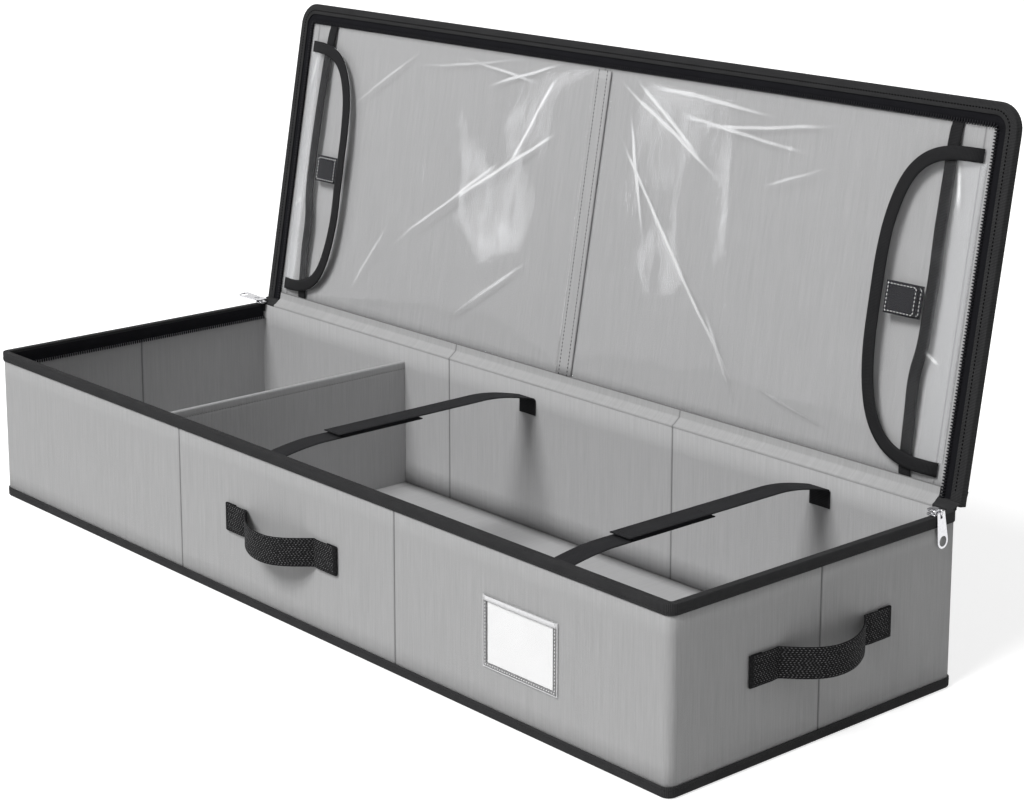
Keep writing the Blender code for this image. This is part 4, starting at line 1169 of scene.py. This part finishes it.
flap_rim = flap_edge()
PATCH_X, PATCH_Y, PATCH_WIDE, PATCH_TALL = 0.4277, 0.010, 0.036, 0.030
for side, out, seed in (("left", -1, 1.0), ("right", 1, 5.0)):
    body = f"flap_{side}"
    outer = [(x, y) for x, y, _, _ in flap_rim]
    inner = [
        (min(x + FLAP_TAPE * nx, FLAP_ROOT - FLAP_HEM), y + FLAP_TAPE * ny)
        for x, y, nx, ny in flap_rim
    ]
    plan = [outer, inner]
    for share in spread(0, 1, 14)[1:]:
        plan.append([(x + (FLAP_ROOT - 0.0003 - x) * share, y) for x, y in inner])
    rows = []
    for i, row in enumerate(plan):
        line = []
        for x, y in row:
            loose = held((FLAP_ROOT - x) / 0.02) if i > 1 else 0
            wave = 0.0007 * crumple(x * 1.6, y * 1.2, seed + 20) * loose
            line.append((out * x, y, FILM_Z - flap_off(x, y, seed) - wave))
        rows.append(line)
    cuts = [[(out * x, y) for x, y in row] for row in plan]
    # Painted sheen on the film near the flap's root.
    shade_and_sheen = [[held((x - 0.464) / 0.008) for x, y in row] for row in plan]
    film = sheeting(f"flap_{side}_film", rows, cuts, clear_film, FILM, 0, lid_open, shade_and_sheen)
    dress(film, body, "clear_film", f"flap_film_{side}")

    rows, cuts = [], []
    runs = along_route(outer)
    for t in spread(0, 1, 5):
        line = [
            (ax + (bx - ax) * t, ay + (by - ay) * t) for (ax, ay), (bx, by) in zip(outer, inner)
        ]
        lift = 0.0010 + 0.0003 * math.sin(math.pi * t)
        rows.append([(out * x, y, FILM_Z - flap_off(x, y, seed) - lift) for x, y in line])
        cuts.append([(run, t * FLAP_TAPE) for run in runs])
    edging = sheeting(f"flap_{side}_tape", rows, cuts, soft_tape, 0.0008, 0, lid_open)
    dress(edging, body, "black_binding", f"flap_binding_{side}")

    # Hook patch under the flap, loop patch on the pocket film
    for label, carrier, node, dx in (
        ("hook", body, f"flap_patch_{side}", 0.0),
        ("loop", "lid", f"pocket_patch_{side}", 0.004),
    ):
        if label == "hook":
            height = lambda x, y: flap_off(x, y, seed) - 0.0009
        else:
            height = lambda x, y: pocket_height(min(x, MOUTH), y, seed) + 0.0008
        proud = 0.0014 if label == "hook" else 0.0005
        on_film = lambda x, y, off: (out * x, y, FILM_Z - height(x, y) - off)
        mid_x, half_x, half_y = PATCH_X + dx, PATCH_WIDE / 2, PATCH_TALL / 2
        xs = spread(mid_x - half_x, mid_x + half_x, 6)
        ys = spread(PATCH_Y - half_y, PATCH_Y + half_y, 6)
        rows = [[on_film(x, y, 0.0) for x in xs] for y in ys]
        pad = sheeting(f"{label}_patch_{side}", rows, plan_of(xs, ys), pile, 0.0008, 0, lid_open)
        dress(pad, carrier, "hook_loop", node)
        a, b, c, d = mid_x - 0.0155, mid_x + 0.0155, PATCH_Y - 0.0125, PATCH_Y + 0.0125
        ring = finer([(a, c), (b, c), (b, d), (a, d), (a, c)], 0.004)
        seam = [lid_open @ Vector(on_film(x, y, proud)) for x, y in ring]
        name = f"{label}_patch_{side}_stitches"
        grains(name, [seam], carrier, white_thread, 0.0036, bead, lid_up)

# Sliders and pulls
# Chromed zinc castings. Each slider has two boat-shaped plates joined by a post, and a
# wire bow on its outer side that holds a flat pull with a round hole.
chromed, metal, shader = finish_of("chromed_zinc", Metallic=1.0)
place = metal.node("ShaderNodeTexCoord", output=3)
wear = place.speckle((380.0,) * 3, 4.0, 0.65)
pits = place.speckle((2400.0,) * 3)
wire(
    shader,
    Base_Color=wear.mixed((0.48, 0.48, 0.50), (0.78, 0.78, 0.80)),
    Roughness=0.10 + 0.22 * wear.within(0.4, 0.8),
    Normal=raised(wear * 0.7 + pits * 0.3, 0.0002),
)


def cast(name, outlines, low, high, place=Matrix.Identity(4), bevel=0.0003):
    """A flat casting: an outline, with holes after it, between two heights."""
    drawing = bpy.data.curves.new(name, "CURVE")
    drawing.dimensions, drawing.fill_mode = "2D", "BOTH"
    drawing.extrude = (high - low) / 2 - bevel
    drawing.bevel_depth, drawing.bevel_resolution, drawing.offset = bevel, 2, -bevel
    for outline in outlines:
        spline = drawing.splines.new("POLY")
        spline.points.add(len(outline) - 1)
        for spot, (px, py) in zip(spline.points, outline):
            spot.co = (px, py, 0.0, 1.0)
        spline.use_cyclic_u = True
    helper = added(name, drawing)
    drawn = helper.evaluated_get(bpy.context.evaluated_depsgraph_get())
    bm = bmesh.new()
    bm.from_mesh(bpy.data.meshes.new_from_object(drawn))
    bpy.data.objects.remove(helper)
    bmesh.ops.remove_doubles(bm, verts=bm.verts, dist=0.00001)
    bmesh.ops.recalc_face_normals(bm, faces=bm.faces)
    bm.transform(place @ Matrix.Translation((0, 0, (low + high) / 2)))
    return piece(name, bm, chromed, 45)


SLIDER_X, SLIDER_LOW, SLIDER_HIGH, PLATE = 0.515, 0.1653, 0.1705, 0.0014
PIN_X, PIN_Z, BOW_FOOT, WIRE = 0.5226, 0.1684, 0.5200, 0.0006
PULL_LONG, PULL_HALF, HOLE, TILT = 0.0335, 0.0068, 0.0047, 8


def on_slider(outline, out, y):
    """An outline about the slider's middle, in its place at one end of the box."""
    return [(out * (SLIDER_X + a), y + b) for a, b in outline][::out]


for side, out, y, raised_pull in (("left", -1, 0.169, True), ("right", 1, 0.151, False)):
    boat = [(-0.0052, -0.0030), (-0.0034, -0.0055), (0.0042, -0.0055), (0.0054, -0.0042)]
    boat = on_slider(eased(boat + [(a, -b) for a, b in reversed(boat)], 0.0012, 3), out, y)
    post = on_slider(arc(0.0, -0.001, 0.0020, 0, 360, 16)[:-1], out, y)
    cheek = [(0.0042, -0.0045), (0.0055, -0.0040), (0.0055, 0.0040), (0.0042, 0.0045)]
    cheek = on_slider(cheek, out, y)
    for label, outline, low, high, bevel in (
        ("lower_plate", boat, SLIDER_LOW, SLIDER_LOW + PLATE, 0.0003),
        ("upper_plate", boat, SLIDER_HIGH - PLATE, SLIDER_HIGH, 0.0003),
        ("post", post, SLIDER_LOW + 0.001, SLIDER_HIGH - 0.001, 0.0001),
        ("cheek", cheek, SLIDER_LOW + 0.0006, SLIDER_HIGH - 0.0006, 0.0002),
    ):
        part = cast(f"slider_{side}_{label}", [outline], low, high, bevel=bevel)
        dress(part, f"slider_{side}", "chromed_metal")
    # The wire bow
    bow = arc(PIN_X, PIN_Z, 0.0023, -100, 100, 14)
    bow = [(BOW_FOOT, bow[0][1])] + bow + [(BOW_FOOT, bow[-1][1])]
    bow = [Vector((out * a, y, z)) for a, z in bow]
    rings, aside = [], Vector((0, 1, 0))
    for i, here in enumerate(bow):
        heading = (bow[min(i + 1, len(bow) - 1)] - bow[max(i - 1, 0)]).normalized()
        face = aside.cross(heading)
        loop = [aside * math.cos(a) + face * math.sin(a) for a in spread(0, 2 * math.pi, 8)[:-1]]
        rings.append([here + WIRE * away for away in loop])
    hem = spread(0.0, 0.0038, 8)
    ring = loft(f"slider_{side}_bow", rings, along_route(bow), hem, chromed, sharp=60)
    dress(ring, f"slider_{side}", "chromed_metal", f"slider_{side}")

    # The pull: hanging a little askew on the right, standing out level on the left
    eye_z = PULL_HALF - PULL_LONG
    plate = [(-0.0050, 0.0010), (-0.0054, -0.006)] + arc(0, eye_z, PULL_HALF, 180, 360, 20)
    plate = eased(plate + [(0.0054, -0.006), (0.0050, 0.0010)], 0.0005, 2)
    slot = [(-0.0014, -0.0015), (0.0014, -0.0015), (0.0014, -0.0051), (-0.0014, -0.0051)]
    hole = arc(0, eye_z, HOLE, 0, 360, 24)[:-1]
    upright = Matrix(((0, 0, 1, 0), (1, 0, 0, 0), (0, 1, 0, 0), (0, 0, 0, 1)))
    tilt = math.radians(TILT)
    if raised_pull:
        place = Matrix.Translation((out * PIN_X, y, PIN_Z + 0.0005)) @ Matrix.Rotation(tilt, 4, "X")
        place = place @ Matrix.Rotation(math.radians(90), 4, "Y") @ upright
    else:
        place = Matrix.Translation((out * PIN_X, y, PIN_Z)) @ upright @ Matrix.Rotation(tilt, 4, "Z")
    pull = cast(f"pull_{side}_plate", [plate, slot, hole], -0.0008, 0.0008, place)
    dress(pull, f"pull_{side}", "chromed_metal", f"pull_{side}")

# Floor
# Plain pale ground that the organizer stands on. It keeps its shadow.
def seen_plainly(tree):
    """1 where the camera looks straight, by mirror or through film, and 0 for light."""
    rays = tree.nodes.new("ShaderNodeLightPath")
    labels = ("Is Camera Ray", "Is Glossy Ray", "Is Transmission Ray")
    camera, glossy, through = (Thread(tree, rays.outputs[label]) for label in labels)
    return (camera + glossy + through).maths("MINIMUM", 1.0)


bm = bmesh.new()
bmesh.ops.create_grid(bm, x_segments=1, y_segments=1, size=30)
bmesh.ops.translate(bm, vec=(0, 0, -0.0004), verts=bm.verts)
pale, _, shader = finish_of("pale_floor", Roughness=1.0, Specular_IOR_Level=0.0)
shader.inputs["Base Color"].default_value = (0.72, 0.72, 0.72, 1)
shader.inputs["Emission Color"].default_value = (1, 1, 1, 1)
wire(shader, Emission_Strength=seen_plainly(pale.node_tree) * 0.70)
piece("floor", bm, pale)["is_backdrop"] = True

# Light and camera
# A broad soft light from the front left, one narrow box that the film and the metal
# catch, and even light all round.
bpy.context.scene.view_settings.view_transform = "Standard"
world = bpy.data.worlds.new("studio")
bpy.context.scene.world = world
world.use_nodes = True
sky = world.node_tree.nodes["Background"]
wire(sky, Strength=seen_plainly(world.node_tree) * 0.71 + 0.29)
sky.inputs["Color"].default_value = (1, 1, 1, 1)

sun = bpy.data.lights.new("key", "SUN")
sun.energy, sun.angle = 2.58, math.radians(24)
toward = Vector((-0.015, -0.66, 0.745))
added("key", sun).rotation_euler = toward.to_track_quat("Z", "Y").to_euler()

strip = bpy.data.lights.new("strip", "AREA")
strip.shape, strip.size, strip.size_y, strip.energy = "RECTANGLE", 0.16, 1.5, 7.0
softbox = added("strip", strip)
softbox.location = (-2.6, -2.3, 1.0)
aim = softbox.location - Vector((0, 0.2, 0.35))
softbox.rotation_euler = aim.to_track_quat("Z", "Y").to_euler()

lens = bpy.data.cameras.new("camera")
lens.lens, lens.sensor_width, lens.sensor_fit = 84.77, 36.0, "HORIZONTAL"
lens.shift_x, lens.shift_y = 0.0048, -0.1738
lens.clip_start, lens.clip_end = 0.05, 60
camera = added("camera", lens)
camera.location = (1.7806, -1.4551, 0.8425)
camera.rotation_euler = (math.radians(90 - 11.842), 0, math.radians(48.742))
bpy.context.scene.camera = camera

low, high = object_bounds()
